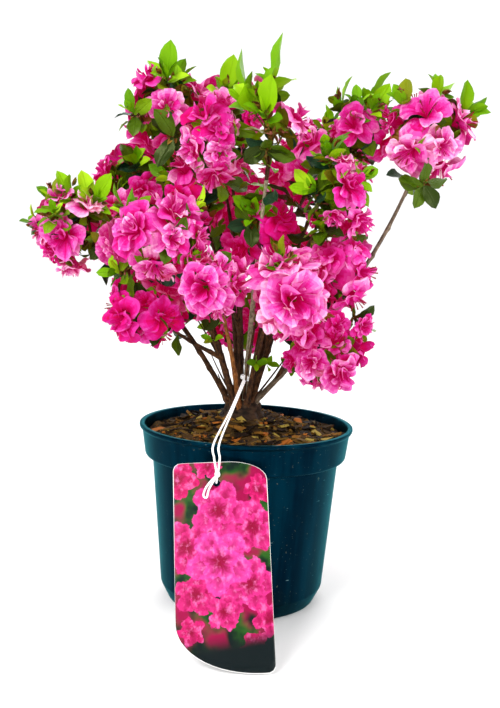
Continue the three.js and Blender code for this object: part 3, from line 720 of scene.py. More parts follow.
def point_at(curve, share):
    """The point at a share of a curve's length, found on 200 short chords."""
    t = np.linspace(0, 1, 201)
    far = length_along(bezier(*curve, t))
    return bezier(*curve, np.interp(share * far[-1], far, t))


def cross_axes(along):
    """Two directions square to a direction and to each other."""
    helper = UP if abs(along[2]) < 0.9 else np.array([1.0, 0, 0])
    first = unit(np.cross(helper, along))
    return first, unit(np.cross(along, first))


def lay_out(row, curves):
    """A stem from its row of driving sizes. Its curve starts on the trunk's stub or on its parent, bends
    by its bow times the chord, and ends just inside its mass. Its spine runs on past the mass's middle."""
    stem = SimpleNamespace(**dict(zip(FIELDS, (*row, None, None)[: len(FIELDS)])))
    compass = math.radians(stem.compass)
    away = np.array([math.cos(compass), math.sin(compass), 0])
    stem.middle = trunk_top + away * stem.reach + UP * stem.rise
    stem.space = np.array([stem.across, stem.across, stem.tall], float)
    upright = stem.rise / math.hypot(stem.rise, stem.reach)
    spread = FOOTING.spread * math.sqrt(1 - upright**2) + FOOTING.least
    if stem.parent:
        stem.base = point_at(curves[stem.parent], stem.share)
    else:
        stem.base = trunk_top + away * spread - FOOTING.dip * UP
    chord = stem.middle - stem.base
    bend = stem.base + chord * 0.5 + (away * chord[2] - UP * (chord @ away)) * stem.bow
    inward = unit(bend - stem.middle)
    rim = 1 / np.linalg.norm(inward / stem.space)
    stem.tip = stem.middle + inward * rim * LIMB.reach_in
    stem.leave = unit(bend - stem.base)
    start = stem.base + stem.leave * (0 if stem.parent else FOOTING.stub + FOOTING.gap)
    stem.curve = (start, bend, stem.tip)
    stem.along = unit(stem.tip - bend)
    inner = stem.tip + stem.along * (FOOTING.gap + LIMB.hair)
    stem.spine = (inner, (inner + stem.middle) / 2, stem.middle + stem.along * LIMB.past)
    curves[stem.name] = stem.curve
    return stem


limb_curves = {}
stems = [lay_out(row, limb_curves) for row in STEMS]
all_masses = [f"mass_{stem.name}" for stem in stems]
lengths = [length_along(bezier(*stem.curve, np.linspace(0, 1, 40)))[-1] for stem in stems]
print("stems from", round(min(lengths)), "to", round(max(lengths)), "mm long")

# %% Tips and their tries


def seeded(seed):
    """A stream of numbers from 0 to 1 by the classic rule on 32 bits."""
    state = (seed * 7919 + 17) % 2**32
    while True:
        state = (1664525 * state + 1013904223) % 2**32
        yield state / 2**32


def tips_of(stem, seed):
    """The blooms and shoots of a mass, each with its tries. They are dealt over a cap about the way out of
    the crown: round it by the golden angle, and out from its middle so that each has a like share of it.
    Every further try lies a little further round."""
    draw = seeded(seed).__next__
    outward = unit((stem.middle - CROWN.heart) / CROWN.size**2)
    outward = unit(outward + UP * LEAF.overtop * (1 - stem.shoots))
    first, second = cross_axes(outward)
    turn = draw() * WHOLE_TURN
    rim_radius = BLOOM.reach * (stem.across**2 * stem.tall) ** (1 / 3)
    crowd = min(0.8, BLOOM.crowding * BLOOM.radius * stem.size / rim_radius)
    spread = min(1.6, stem.blooms * (1 - math.cos(math.asin(crowd))) / 0.8)

    def on_cap(part, around):
        tilt = math.acos(1 - spread * part)
        side = first * math.cos(around) + second * math.sin(around)
        return outward * math.cos(tilt) + side * math.sin(tilt)

    tips = []
    for k in range(stem.blooms):
        part = (k + 0.75 + 0.3 * draw()) / (stem.blooms + 0.4) if k else 0
        size = stem.size * (0.88 + 0.24 * draw())
        tries = [
            (on_cap(part + 0.04 * t, turn + k * GOLDEN + 0.9 * t), BLOOM.radius * size * (1 - 0.03 * t))
            for t in range(BLOOM.tries)
        ]
        tips.append(SimpleNamespace(kind="bloom", tries=tries))
    for k in range(stem.shoots):
        part = (k + 0.3 + 0.4 * draw()) / stem.shoots
        length = LEAF.length * (LEAF.vigour + 0.4 * draw()) * (stem.tall / 40)
        tries = []
        for t in range(LEAF.tries):
            facing = on_cap(part, turn + (k + 0.5) * GOLDEN + 0.7 * t)
            tries.append((unit([facing[0], facing[1], abs(facing[2]) + LEAF.uplift]), length))
        tips.append(SimpleNamespace(kind="shoot", tries=tries))
    for k, tip in enumerate(tips):
        tip.turn = draw() * WHOLE_TURN
        tip.foot = bezier(*stem.spine, 0.25 + 0.7 * (k + 0.5) / len(tips))
    return tips


def seat_of(stem, tip, facing, radius):
    """Where a try puts the calyx of a bloom or the end of a shoot's twig."""
    rim = 1 / np.linalg.norm(facing / stem.space)
    if tip.kind == "bloom":
        return stem.middle + facing * max(3, rim * BLOOM.reach - BLOOM.depth * BLOOM.rim * radius)
    return stem.middle + facing * max(6, rim - 0.25 * radius)


print("tips of the first mass:", len(tips_of(stems[0], 1)))

# %% Corners of plain blooms and shoots


def rim_points(calyx, facing, radius, turn):
    """The ten corners of a plain bloom's rim, high and wide on a lobe and lower and narrower between."""
    first, second = cross_axes(facing)
    angle = turn + whole_circle(10)
    notch = np.arange(10) % 2
    out = radius * np.where(notch, BLOOM.notch, 1)
    rise = BLOOM.depth * radius * (BLOOM.rim - BLOOM.drop * notch)
    ring = np.cos(angle)[:, None] * first + np.sin(angle)[:, None] * second
    return calyx + out[:, None] * ring + rise[:, None] * facing


def leaf_frames(ends, axis, spin, opening, length):
    """Leaves that leave a twig at a spin about its axis and an opening angle from it, as arrays: their
    feet, the way they point, the way their faces look and their lengths."""
    first, second = cross_axes(axis)
    out = np.cos(spin)[:, None] * first + np.sin(spin)[:, None] * second
    cosine, sine = np.cos(opening)[:, None], np.sin(opening)[:, None]
    return ends, cosine * axis + sine * out, sine * axis - cosine * out, length


def shoot_leaves(end, foot, facing, radius, turn):
    """The four leaves that the rule gives a shoot."""
    k = np.arange(LEAF.per_shoot)
    ends = end + (foot - end) * (0.02 + 0.06 * k)[:, None]
    opening = np.radians(20 + 50 * k / (LEAF.per_shoot - 1))
    length = radius * (0.8 + 0.3 * np.sin(k * 2.4 + turn))
    return leaf_frames(ends, facing, turn + k * GOLDEN, opening, length)


def leaf_points(frames):
    """The tips of plain leaves: a length along each, less a droop."""
    ends, along, face, length = frames
    side = unit(np.cross(along, face))
    up = unit(np.cross(side, along))
    return ends + along * length[:, None] - up * (LEAF.droop * length)[:, None]


print("corners of a plain bloom's rim:", len(rim_points(trunk_top, UP, BLOOM.radius, 0.0)))

# %% Tips that the solids hold
# How many corners have to match before a try counts as the one that was taken.
ENOUGH = {"bloom": 3, "shoot": 1}


def corners_of(node):
    """The corners of one of the frame's solids, in millimetres."""
    mesh = frame["nodes"][node].data
    corners = np.empty(len(mesh.vertices) * 3, np.float32)
    mesh.vertices.foreach_get("co", corners)
    return corners.reshape(-1, 3) / MM


def found(points, corners, near=0.08):
    """How many of some points lie on a corner of a solid."""
    apart = np.linalg.norm(points[:, None] - corners[None], axis=2)
    return int((apart.min(1) < near).sum())


def new_tip(kind, facing, radius, end, turn, foot):
    """The end of a twig: what it carries, the way that faces, its size, its place, its turn about that
    way, and where the twig leaves the spine."""
    return SimpleNamespace(kind=kind, facing=facing, radius=radius, end=end, turn=turn, foot=foot)


def grown_tips(stem, seed):
    """The blooms and shoots that the stem's mass really has, each where its taken try put it."""
    corners = corners_of(f"mass_{stem.name}")
    grown = []
    for tip in tips_of(stem, seed):
        best, hits = None, 0
        for facing, radius in tip.tries:
            end = seat_of(stem, tip, facing, radius)
            if tip.kind == "bloom":
                points = rim_points(end, facing, radius, tip.turn)
            else:
                points = leaf_points(shoot_leaves(end, tip.foot, facing, radius, tip.turn))
            count = found(points, corners)
            if count > hits:
                best, hits = new_tip(tip.kind, facing, radius, end, tip.turn, tip.foot), count
        if hits >= ENOUGH[tip.kind]:
            grown.append(best)
    return grown


def count_of(kind):
    """How many ends of one kind the whole plant has."""
    return sum(tip.kind == kind for tips in growth.values() for tip in tips)


growth = {stem.name: grown_tips(stem, place + 1) for place, stem in enumerate(stems)}
print("the solids hold", count_of("bloom"), "blooms and", count_of("shoot"), "shoots")

# %% [markdown]
# ## Trunk and boughs
# The trunk is a short, lobed stump that flares into the soil, and the stems leave it almost at once. An
# azalea's bark is thin and finely fissured, with a swelling wherever a leaf or twig once stood. Each
# stem is a tube along the rule's own curve, with the swellings and long shallow ridges in its radius, so
# that the outline is knotty too and not only the shading. Most stems are dark brown, the foremost one and
# the long one on the right are paler and greyer, and one thin stem is a warm orange brown.

# %% Bark
BARKS = {
    "brown": ((28, 15, 7), (102, 66, 36)),
    "grey": ((92, 80, 60), (186, 172, 144)),
    "warm": ((92, 48, 18), (168, 108, 52)),
    "stump": ((16, 9, 4), (64, 44, 26)),
    "dusk": ((62, 48, 36), (146, 128, 106)),
}
STEM_BARK = {"leader": "grey", "far_right": "dusk", "centre_left": "warm"}


def bark_finish(name, dark, light):
    """Fissured bark: light ridges over dark cracks, drawn out along the map's own length."""
    bark = Finish(f"bark_{name}", Specular_IOR_Level=0.25)
    crack = bark.noise(bark.stretched(bark.place("UV"), (9, 0.22, 1)), detail=5.0, roughness=0.65)
    patch = bark.noise(bark.place(), 90.0, 2.0)
    share = (crack * 0.7 + patch * 0.3).clipped(0.36, 0.66)
    bark.link("Base Color", bark.mix(share, linear(*dark), linear(*light)))
    bark.link("Roughness", 0.95 - crack * 0.25)
    bark.bump(crack, 0.0011, 0.8)
    return bark.material


print("barks:", ", ".join(BARKS))

# %% Stump and stems


def ridged(rng, far, sides, radius, relief):
    """A radius for every point of a tube: a few long ridges that wander round it, fine grain, and about
    every 28 mm a swelling that leans to one side."""
    angle = whole_circle(sides)[None]
    wander = rng.random(3) * WHOLE_TURN
    ridges = sum(
        np.sin(n * angle + wander[m] + far[:, None] * (0.05 - 0.03 * m)) / (m + 1)
        for m, n in enumerate((2, 3, 5))
    )
    even = np.arange(12, far[-1], 28.0)
    knots = even + rng.uniform(-8, 8, len(even))
    lean = np.cos(angle[..., None] - rng.random(len(knots)) * WHOLE_TURN)
    swell = np.exp(-(((far[:, None, None] - knots) / 2.6) ** 2)) * (0.6 + 0.6 * lean)
    grain = rng.normal(0, 0.25, (len(far), sides))
    return radius[:, None] * (1 + relief * (0.5 * ridges + grain)) + 0.75 * swell.sum(-1)


def add_limb(heap, stem, rng):
    """A stem from inside the trunk or its parent to its mass, thicker at its foot."""
    length = length_along(bezier(*stem.curve, np.linspace(0, 1, 40)))[-1]
    t = np.linspace(0, 1, int(length / 2.6))
    path = bezier(*stem.curve, t)
    radius = LIMB.slim * (stem.thick + (LIMB.tip - stem.thick) * t)
    if stem.parent:
        radius = radius + 0.8 * np.exp(-t * length / 5)
    else:
        back = np.linspace(FOOTING.sink + FOOTING.stub, 1.5, 6)[:, None]
        path = np.concatenate([path[0] - stem.leave * back, path])
        radius = np.concatenate([stem.thick * (1 + 0.5 * back[:, 0] / back[0, 0]), radius])
    sides, across = 14, unit(np.cross(stem.leave, UP))
    finish = list(BARKS).index(STEM_BARK.get(stem.name, "brown"))
    add_tube(heap, path, ridged(rng, length_along(path), sides, radius, 0.07), sides, across, finish)


def add_trunk(heap, rng):
    """The stump: rings that narrow upwards with five lobes that fade, roughened, and a domed top."""
    rows, sides = 22, 90
    level, angle = np.linspace(0, 1, rows)[:, None], whole_circle(sides)
    marks = [0, 0.3, 0.75, 1]
    radius = np.interp(level, marks, [TRUNK.foot, TRUNK.waist, TRUNK.top, TRUNK.top * 0.72])
    flare = np.interp(level, marks, [0.16, 0.08, 0.04, 0])
    lobes = 1 + flare * np.cos(TRUNK.lobes * angle + 0.6)
    folds = 0.02 * np.sin(17 * angle + 3 * level) + 0.035 * np.sin(9 * angle - 5 * level)
    rough = lobes + 1.6 * folds + rng.normal(0, 0.016, (rows, sides))
    path = side_by_side(TRUNK.x, TRUNK.y, MULCH.crown + FOOTING.gap + TRUNK.height * level[:, 0])
    add_tube(heap, path, radius * rough, sides, np.array([0.0, 1, 0]), list(BARKS).index("stump"))


def make_branches():
    """The stump and all the stems as one piece, each with its own bark."""
    rng = np.random.default_rng(5)
    heap = Heap()
    add_trunk(heap, rng)
    for stem in stems:
        add_limb(heap, stem, rng)
    finishes = [bark_finish(name, *tones) for name, tones in BARKS.items()]
    heap.piece("branches", finishes, "bark", ["trunk", *(f"stem_{stem.name}" for stem in stems)])


make_branches()

# %% [markdown]
# ## Finer growth within each mass
# The solids only carry the main blooms. The real masses are denser: smaller blooms stand deeper in, and
# leaves fill the gaps down to the stem. Each smaller bloom goes into the widest gap that some random
# places offer, and never further out, so that the masses keep their reach. One that would sit on a stem
# is left out, as a grower would rub it off, and so is one that would hide the two pale stems that stand
# bare before the crown. In some masses leaves take the place of a bloom, and a few more ends are added
# where the picture shows them. A petal or leaf may pass the frame's box by a few millimetres at most.

# %% Room to grow in
BOX_ROOM = 8.0
BARE_FROM = {"leader": 0.25, "far_right": 0.42}

box_low, box_high = np.array(cad_low) / MM - BOX_ROOM, np.array(cad_high) / MM + BOX_ROOM
limb_points = np.concatenate([bezier(*stem.curve, np.linspace(0, 1, 60)) for stem in stems])
bare_points = np.concatenate([
    [point_at(limb_curves[name], share) for share in np.linspace(first, 0.93, 70)]
    for name, first in BARE_FROM.items()
])


def off_limbs(point, apart):
    """Whether a point keeps its distance from every stem."""
    return np.linalg.norm(limb_points - point, axis=1).min() > apart


def share_inside(ends, reaches):
    """The share of each reach, up to all of it, that stays inside the frame's box let out a little."""
    upward = reaches > 0
    steps = np.where(upward, np.maximum(reaches, 1e-6), np.minimum(reaches, -1e-6))
    return np.clip(((np.where(upward, box_high, box_low) - ends) / steps).min(-1), 0, 1)


def before_bare_stem(point, room):
    """Whether a point lies before one of the two pale stems that stand bare before the crown, within some
    room of it as seen from the front."""
    off = bare_points - point
    return bool(((np.abs(off[:, 0]) < room) & (np.abs(off[:, 2]) < room) & (off[:, 1] > 0)).any())


print("room past the frame's box:", BOX_ROOM, "mm")

# %% Second growth
FILL = SimpleNamespace(
    tries=60, size=(0.62, 0.82), depth=(0.5, 0.78), heart=0.4, apart=0.62, off_stem=0.55, off_bare=0.8,
)
# By kind and mass, the main blooms that something else takes the place of, as numbers in the mass.
IN_PLACE = {
    "tuft": {
        "right_up": (0, 1, 3), "right_mid": (2, 4), "centre_back": (4,), "upper_left": (1, 7),
        "upper_mid": (3,), "back_left": (3,), "back_mid": (2,), "back_right": (4,),
        "back_left_low": (3,), "back_top": (4,), "back_right_low": (2,), "back_low": (4,),
    },
    "whorl": {"leader": (1,)},
    "bud": {"leader": (0,)},
}
# More ends of a mass: their place from its middle, the way they face, their size and their kind.
EXTRA_ENDS = {
    "far_left": [
        ((-29, -4, 4), (-1, -0.3, 0.4), 17, "tuft"), ((-12, -30, 12), (-0.3, -1, 0.5), 15, "tuft"),
        ((29, -16, -9), (0.4, -1, 0.0), 17, "bloom"),
    ],
    "left_front": [((-30, 6, -28), (-0.8, -0.5, -0.3), 15, "tuft")],
    "upper_left": [
        ((8, -34, -24), (0.1, -1, -0.1), 19, "whorl"), ((-24, -28, -6), (-0.5, -0.8, 0.4), 16, "tuft"),
    ],
    "right": [
        ((-18, -20, 36), (-0.4, -0.8, 0.6), 17, "tuft"), ((-8, -14, -47), (0.2, -1, -0.2), 15, "bloom"),
        ((14, -8, -42), (0.7, -0.8, -0.2), 14, "bloom"),
    ],
    "far_right": [((-6, -22, -43), (0.2, -1, -0.35), 17, "whorl")],
    "centre_back": [((-10, -30, 10), (-0.3, -1, 0.1), 16, "whorl")],
}
# How many smaller blooms a mass gets at most: seven, but for the more open ones.
SECOND_BLOOMS = {
    "leader": 1, "right_up": 2, "right_mid": 4, "far_right": 4, "far_left": 5, "centre_mid": 3,
    "centre_back": 2,
}


def second_blooms(stem, rng, tips, count):
    """Smaller blooms deeper in a mass, in the widest gaps between those it has. Of many random places,
    the one furthest from every bloom so far is taken each time."""
    outward = unit((stem.middle - CROWN.heart) / CROWN.size**2)
    taken = [tip.end + tip.facing * FILL.heart * tip.radius for tip in tips if tip.kind != "shoot"]
    extra = []
    for _ in range(count):
        facing = unit(rng.normal(0, 1, (FILL.tries, 3)) + 0.8 * outward)
        rim = 1 / np.linalg.norm(facing / stem.space, axis=1)
        radius = BLOOM.radius * stem.size * rng.uniform(*FILL.size)
        seat = np.maximum(2, rim * rng.uniform(*FILL.depth, FILL.tries) - 0.5 * radius)
        ends = stem.middle + facing * seat[:, None]
        hearts = ends + facing * FILL.heart * radius
        apart = np.linalg.norm(hearts[:, None] - np.array(taken), axis=2).min(1)
        for place, heart in enumerate(hearts):
            rubs = not off_limbs(heart, FILL.off_stem * radius)
            if rubs or before_bare_stem(heart, FILL.off_bare * radius):
                apart[place] = 0
        pick = int(np.argmax(apart))
        if apart[pick] < FILL.apart * radius:
            continue
        taken.append(hearts[pick])
        foot = bezier(*stem.spine, rng.uniform(0.2, 0.9))
        extra.append(new_tip("bloom", facing[pick], radius, ends[pick], rng.random() * WHOLE_TURN, foot))
    return extra


for kind, masses in IN_PLACE.items():
    for name, numbers in masses.items():
        for number in numbers:
            growth[name][number].kind = kind
for place, stem in enumerate(stems):
    tips = growth[stem.name]
    for offset, way, length, kind in EXTRA_ENDS.get(stem.name, ()):
        tips.append(new_tip(kind, unit(way), length, stem.middle + offset, 0.0, bezier(*stem.spine, 0.7)))
    tips += second_blooms(stem, np.random.default_rng(100 + place), tips, SECOND_BLOOMS.get(stem.name, 7))
print("blooms in all:", count_of("bloom"))

# %% [markdown]
# ## Petals
# The blooms are double: a funnel of five broad ruffled lobes, a second funnel within it, and a knot of
# narrow, curled petals at the heart. The throat is deep crimson pink and the rims fade towards shell
# pink. A petal is a function of two numbers. One runs out from the throat and sets the distance and the
# height, and the other runs across and sets the angle, which closes to a round tip.

# %% Petal shapes
# Each ring of petals, outermost first: its count, reach, lift, droop, rows and columns.
WHORLS = {
    "fine": [
        (5, 1.0, 0.62, 0.12, 16, 19), (5, 0.80, 0.76, 0.06, 14, 15), (5, 0.56, 0.80, 0.0, 10, 11),
        (4, 0.34, 0.80, -0.05, 7, 7),
    ],
    "double": [
        (5, 1.0, 0.62, 0.12, 11, 13), (5, 0.80, 0.76, 0.06, 10, 11), (5, 0.54, 0.80, 0.0, 7, 7),
        (3, 0.32, 0.80, -0.05, 5, 5),
    ],
    "loose": [(5, 1.03, 0.58, 0.16, 11, 13), (5, 0.72, 0.72, 0.04, 9, 9), (3, 0.42, 0.74, 0.0, 7, 6)],
    "open": [(5, 1.06, 0.62, 0.20, 12, 13), (2, 0.50, 0.60, 0.0, 7, 6)],
}
# By ring: half the angle that a petal takes, in radians, and the power by which it flares.
SPANS, FLARES = (0.74, 0.70, 0.62, 0.6), (1.25, 1.35, 1.15, 1.0)


def petal(turn, reach, lift, droop, span, flare, ruffle, curl, twist, phase, rows, columns):
    """One petal about the z axis, as a grid. v runs out and u runs across from -1 to 1.
    Distance: reach times v to the power flare, cut back towards the sides of the rim, which rounds it,
    and scalloped by two cosines.
    Angle: turn, plus twist times v squared, plus u times a half angle that widens over the claw.
    Height: lift times a rise that levels off, less droop times v cubed, plus a wave across that grows
    with v squared, plus curl times u squared. A petal of few columns has a slower wave, so that no fold
    is sharper than its faces."""
    v = np.linspace(0.06, 1, rows)[:, None] ** 0.85
    u = np.linspace(-1, 1, columns)[None]
    half = span * (0.45 + 0.55 * np.sin(np.minimum(1, v / 0.62) * np.pi / 2))
    cut = 0.33 * np.abs(u) ** 3 - 0.05 * np.cos(4 * u + phase) - 0.022 * np.cos(11 * u + 2 * phase)
    out = reach * v**flare * (1 - cut * v**1.6)
    angle = turn + twist * v**2 + u * half
    waves = min(7.0, 0.55 * (columns - 1))
    wave = np.sin(waves * u + phase) * (0.3 + 0.7 * np.abs(u)) + 0.6 * np.sin(0.45 * waves * u - 2 * phase)
    height = lift * (1 - (1 - v) ** 2) - droop * v**3 + ruffle * v**2 * wave + curl * v * u**2
    points = side_by_side(out * np.cos(angle), out * np.sin(angle), height).reshape(-1, 3)
    return points, grid_faces(rows, columns), side_by_side((u + 1) / 2, v).reshape(-1, 2)


def petal_bands(rows, columns, depth, spots):
    """A step on the ladder of pinks for every face: low in the throat and along the middle vein, high on
    the rim. Spots, if any, darken some faces of the upper throat."""
    v = (np.arange(rows - 1)[:, None] + 0.5) / (rows - 1)
    u = np.abs((np.arange(columns - 1)[None] + 0.5) / (columns - 1) * 2 - 1)
    steps = np.interp(v, [0, 0.2, 0.45, 0.7, 0.9, 1], [-4.6, -3.2, -1.6, -0.2, 1.0, 1.8]) + 0.9 * u * v
    steps = steps - 0.9 * (u < 0.25) * (v < 0.75) + 0.5 * (depth == 2) * v
    if spots is not None:
        steps = steps - 2.2 * (spots < 0.3) * (v > 0.25) * (v < 0.7) * (u < 0.7)
    return steps


print("rings of petals:", {style: len(rings) for style, rings in WHORLS.items()})

# %% Whole blooms
ANTHER_STEP = -99.0


def stamens(rng, count, reach, lift):
    """Thin curved threads from the throat, four-sided, each with a thicker tip: distance reach times t
    squared, height lift times t. Returned with a step for every face: deep, and a mark of its own for the
    tips."""
    t = np.linspace(0.1, 1, 5)
    radius = np.array([0.014, 0.012, 0.01, 0.012, 0.03])
    parts = []
    for _ in range(count):
        angle = rng.random() * WHOLE_TURN
        far = reach * rng.uniform(0.7, 1.1) * t**2
        path = side_by_side(far * np.cos(angle), far * np.sin(angle), lift * rng.uniform(0.85, 1.05) * t)
        points, quads, _, _ = tube(path, radius, 4, np.array([0.3, 0.9, 0.1]))
        faces = np.concatenate([quads, [[3, 2, 1, 0]], [[16, 17, 18, 19]]])
        steps = np.where(faces.max(1) > 15, ANTHER_STEP, -2.0)
        parts.append((points[:20], faces, np.zeros((20, 2)), steps))
    return parts


def bloom_shape(seed, style):
    """A whole bloom of radius 1 about the z axis: rings of petals, outermost first, and its stamens."""
    rng = np.random.default_rng(seed)
    parts = []
    for depth, (count, reach, lift, droop, rows, columns) in enumerate(WHORLS[style]):
        start = rng.random() * WHOLE_TURN
        for k in range(count):
            points, faces, flat_map = petal(
                turn=start + k * WHOLE_TURN / count + rng.normal(0, 0.12 + 0.12 * depth),
                reach=reach * rng.uniform(0.74, 1.12),
                lift=lift * rng.uniform(0.78, 1.15),
                droop=droop * rng.uniform(-0.5, 3.2),
                span=SPANS[depth] * rng.uniform(0.8, 1.18),
                flare=FLARES[depth],
                ruffle=rng.uniform(0.06, 0.14) * (1 + 0.15 * depth),
                curl=rng.uniform(-0.08, 0.18),
                twist=rng.normal(0, 0.05 + 0.12 * depth),
                phase=rng.random() * WHOLE_TURN,
                rows=rows,
                columns=columns,
            )
            points[:, 2] += 0.015 * (k % 2) + 0.02 * depth
            has_spots = style == "open" and depth == k == 0
            spots = rng.random((rows - 1, columns - 1)) if has_spots else None
            streaks = rng.normal(0, 0.5, columns - 1)
            steps = petal_bands(rows, columns, depth, spots) + rng.normal(0, 0.75) + streaks
            parts.append((points, faces, flat_map, steps.reshape(-1)))
    if style in ("loose", "open"):
        parts += stamens(rng, 6, 0.34, 0.95)
    points, faces, flat_maps, steps = zip(*parts)
    starts = np.cumsum([0, *map(len, points)])
    return SimpleNamespace(
        points=np.concatenate(points),
        faces=np.concatenate([sheet + start for sheet, start in zip(faces, starts)]),
        flat_map=np.concatenate(flat_maps),
        bands=np.concatenate(steps),
        style=style,
    )


STYLES = ["double"] * 8 + ["loose"] * 4 + ["open"] * 3 + ["fine"] * 3
bloom_shapes = [bloom_shape(40 + place, style) for place, style in enumerate(STYLES)]
most_faces = max(len(shape.faces) for shape in bloom_shapes)
print("bloom shapes:", len(bloom_shapes), "of up to", 2 * most_faces, "triangles")

# %% [markdown]
# ## The ladder of pinks
# A smooth blend painted over a petal would be lost when hundreds of blooms share one piece. So the pinks
# are a ladder of twelve plain finishes from crimson to shell pink, and each face of a petal is dealt a
# step of it: low in the throat, high on the rim, and shifted as a whole from bloom to bloom. Fine veins
# and soft creases are in the bump, which follows each petal's own map.

# %% Petal finishes
PINKS = [
    (150, 0, 46), (162, 0, 62), (170, 0, 80), (174, 2, 94), (178, 10, 109), (182, 25, 125),
    (187, 46, 141), (194, 72, 157), (203, 101, 172), (213, 132, 188), (224, 164, 205), (237, 195, 222),
]
ANTHER = (96, 30, 24)


def petal_finish(place, tone):
    """One pink, softly sheened, with veins that fan along the petal and shallow creases across it. A faint
    red glow stands for the light that shines through a petal."""
    pink = Finish(
        f"petal_{place:02d}", Base_Color=linear(*tone), Specular_IOR_Level=0.06,
        Emission_Color=linear(220, 0, 72), Emission_Strength=0.25,
    )
    flat = pink.place("UV")
    veins = pink.noise(pink.stretched(flat, (26, 2.2, 1)), roughness=0.5)
    creases = pink.noise(pink.stretched(flat, (4, 5, 1)), detail=2.0)
    pink.link("Roughness", creases * 0.25 + 0.5)
    pink.bump(veins * 0.6 + creases, 0.0009, 0.7)
    return pink.material


petal_finishes = [petal_finish(place, tone) for place, tone in enumerate([*PINKS, ANTHER])]
print("pinks:", len(petal_finishes))

# %% Blooms on their stalks
# How far up the ladder of pinks each mass is moved. Those not named here are moved by BACK_TINT.
# Mostly this is the masses' own range from deep to pale; the low numbers of centre_mid and centre_back,
# deep in the crown, are painted shade.
MASS_TONE_AND_SHADE = {
    "centre_front": 7.4, "centre_left": 7.2, "leader": 7.6, "upper_mid": 6.6, "left_front": 6.8,
    "far_left": 7.4, "upper_left": 6.2, "far_right": 6.2, "right_up": 5.8, "right_mid": 6.0, "right": 6.0,
    "right_low": 5.6, "left_low": 4.6, "centre_mid": 4.2, "centre_back": 3.8,
}
BACK_TINT = 5.4
# The styles that the blooms of a mass may have. Those not named here have double and loose ones.
STYLE_CHOICES = {
    "far_right": ("open", "loose"), "right": ("double", "loose", "open"), "right_up": ("loose",),
    "leader": ("loose",), "left_low": ("double", "open"),
}
# From this radius on, in millimetres, a bloom is a fine one.
FINE_FROM = 26.0
GROUPS = {
    "blossom_left": ("left_front", "centre_left", "far_left", "upper_left", "left_low", "centre_mid"),
    "blossom_front": ("leader", "centre_front", "upper_mid", "centre_back", "right_low"),
    "blossom_right": ("far_right", "right_mid", "right_up", "right"),
    "blossom_back_left": ("back_left", "back_left_low", "back_top", "back_low"),
    "blossom_back_right": ("back_mid", "back_right", "back_right_low"),
}


def add_bloom(heap, shape, tip, tone_and_shade, rng):
    """Puts one bloom on its calyx, turned to face its way and inside the box, and deals its pinks, shifted by
    its mass's tone, which for the masses deep in the crown is painted shade.
    """
    facing = unit(tip.facing + rng.normal(0, 0.13, 3))
    first, second = cross_axes(facing)
    cosine, sine = math.cos(tip.turn), math.sin(tip.turn)
    turned_first, turned_second = first * cosine + second * sine, second * cosine - first * sine
    axes = np.stack([turned_first, turned_second, facing * rng.uniform(0.9, 1.3)])[None] * tip.radius
    axes *= share_inside(tip.end, shape.points @ axes[0]).min()
    # For a mass deep in the crown, the low shift is painted shade.
    steps = np.rint(shape.bands + tone_and_shade + rng.normal(0, 0.22, len(shape.bands)))
    steps = np.where(shape.bands == ANTHER_STEP, len(PINKS), np.clip(steps, 0, len(PINKS) - 1))
    heap.add_copies(shape, tip.end[None], axes, steps[None].astype(int))


def make_blossom(group, members):
    """The blooms of some masses as one piece, each of a style that its mass allows. The widest are fine
    ones, because coarse faces would show most on them."""
    heap = Heap()
    for name in members:
        rng = np.random.default_rng(200 + all_masses.index(f"mass_{name}"))
        for tip in growth[name]:
            if tip.kind != "bloom":
                continue
            choice = STYLE_CHOICES.get(name, ("double", "loose"))
            if tip.radius > FINE_FROM:
                choice = ("fine",)
            shapes = [shape for shape in bloom_shapes if shape.style in choice]
            shape = shapes[rng.integers(len(shapes))]
            add_bloom(heap, shape, tip, MASS_TONE_AND_SHADE.get(name, BACK_TINT) + rng.normal(0, 1.1), rng)
    heap.piece(group, petal_finishes, "blossom", [f"mass_{name}" for name in members])


for group_name, group_members in GROUPS.items():
    make_blossom(group_name, group_members)

# %% [markdown]
# ## Leaves
# Two kinds of leaf are on the plant at once. Last year's are oval, dark and glossy, some of them bluish
# or bronze, and stand in collars below the blooms. This spring's are narrower and bright yellow green,
# and stand up in tufts. Both are the same sheet with other numbers: a width that swells and closes along
# the leaf, a fold along the middle vein, a bend and a slight twist.

# %% Leaf shapes
LEAF_CLOSE = 0.8


def leaf_shape(width, widest, fold, bend, twist, wave, rows=8, columns=5):
    """A leaf of length 1 along x, across y, facing z. v runs along it and u across.
    Half width: the curve v^a times (1-v)^b, scaled so that its peak is the given width at widest.
    Height: fold times the distance from the middle vein, less bend times v squared, plus a wave along
    the edges. Twist turns each cross-section in proportion to v."""
    v = np.linspace(0, 1, rows)[:, None]
    u = np.linspace(-1, 1, columns)[None]
    rise = widest / (1 - widest) * LEAF_CLOSE
    profile = np.maximum(v, 1e-9) ** rise * (1 - v) ** LEAF_CLOSE
    half = width / 2 * profile / (widest**rise * (1 - widest) ** LEAF_CLOSE) + 0.012 * (1 - v) + 0.002
    across = u * half
    height = fold * np.abs(across) - bend * v**2 + wave * half * np.sin(9 * v + 2 * u) * u
    turn = twist * v
    points = side_by_side(
        v - 0.25 * bend * v**2,
        across * np.cos(turn) - height * np.sin(turn),
        height * np.cos(turn) + across * np.sin(turn),
    ).reshape(-1, 3)
    flat_map = side_by_side((u + 1) / 2, v).reshape(-1, 2)
    return SimpleNamespace(points=points, faces=grid_faces(rows, columns), flat_map=flat_map)


old_leaf_shapes = [
    leaf_shape(0.56, 0.56, 0.22, bend, twist, 0.22)
    for bend, twist in ((0.1, 0.2), (0.28, -0.3), (0.45, 0.1), (-0.05, 0.4))
]
young_leaf_shapes = [
    leaf_shape(0.46, 0.56, 0.35, bend, twist, 0.15)
    for bend, twist in ((0.12, 0.2), (0.25, -0.25), (0.05, 0.5), (-0.1, -0.3))
]

print("leaf shapes:", len(old_leaf_shapes), "old and", len(young_leaf_shapes), "young")

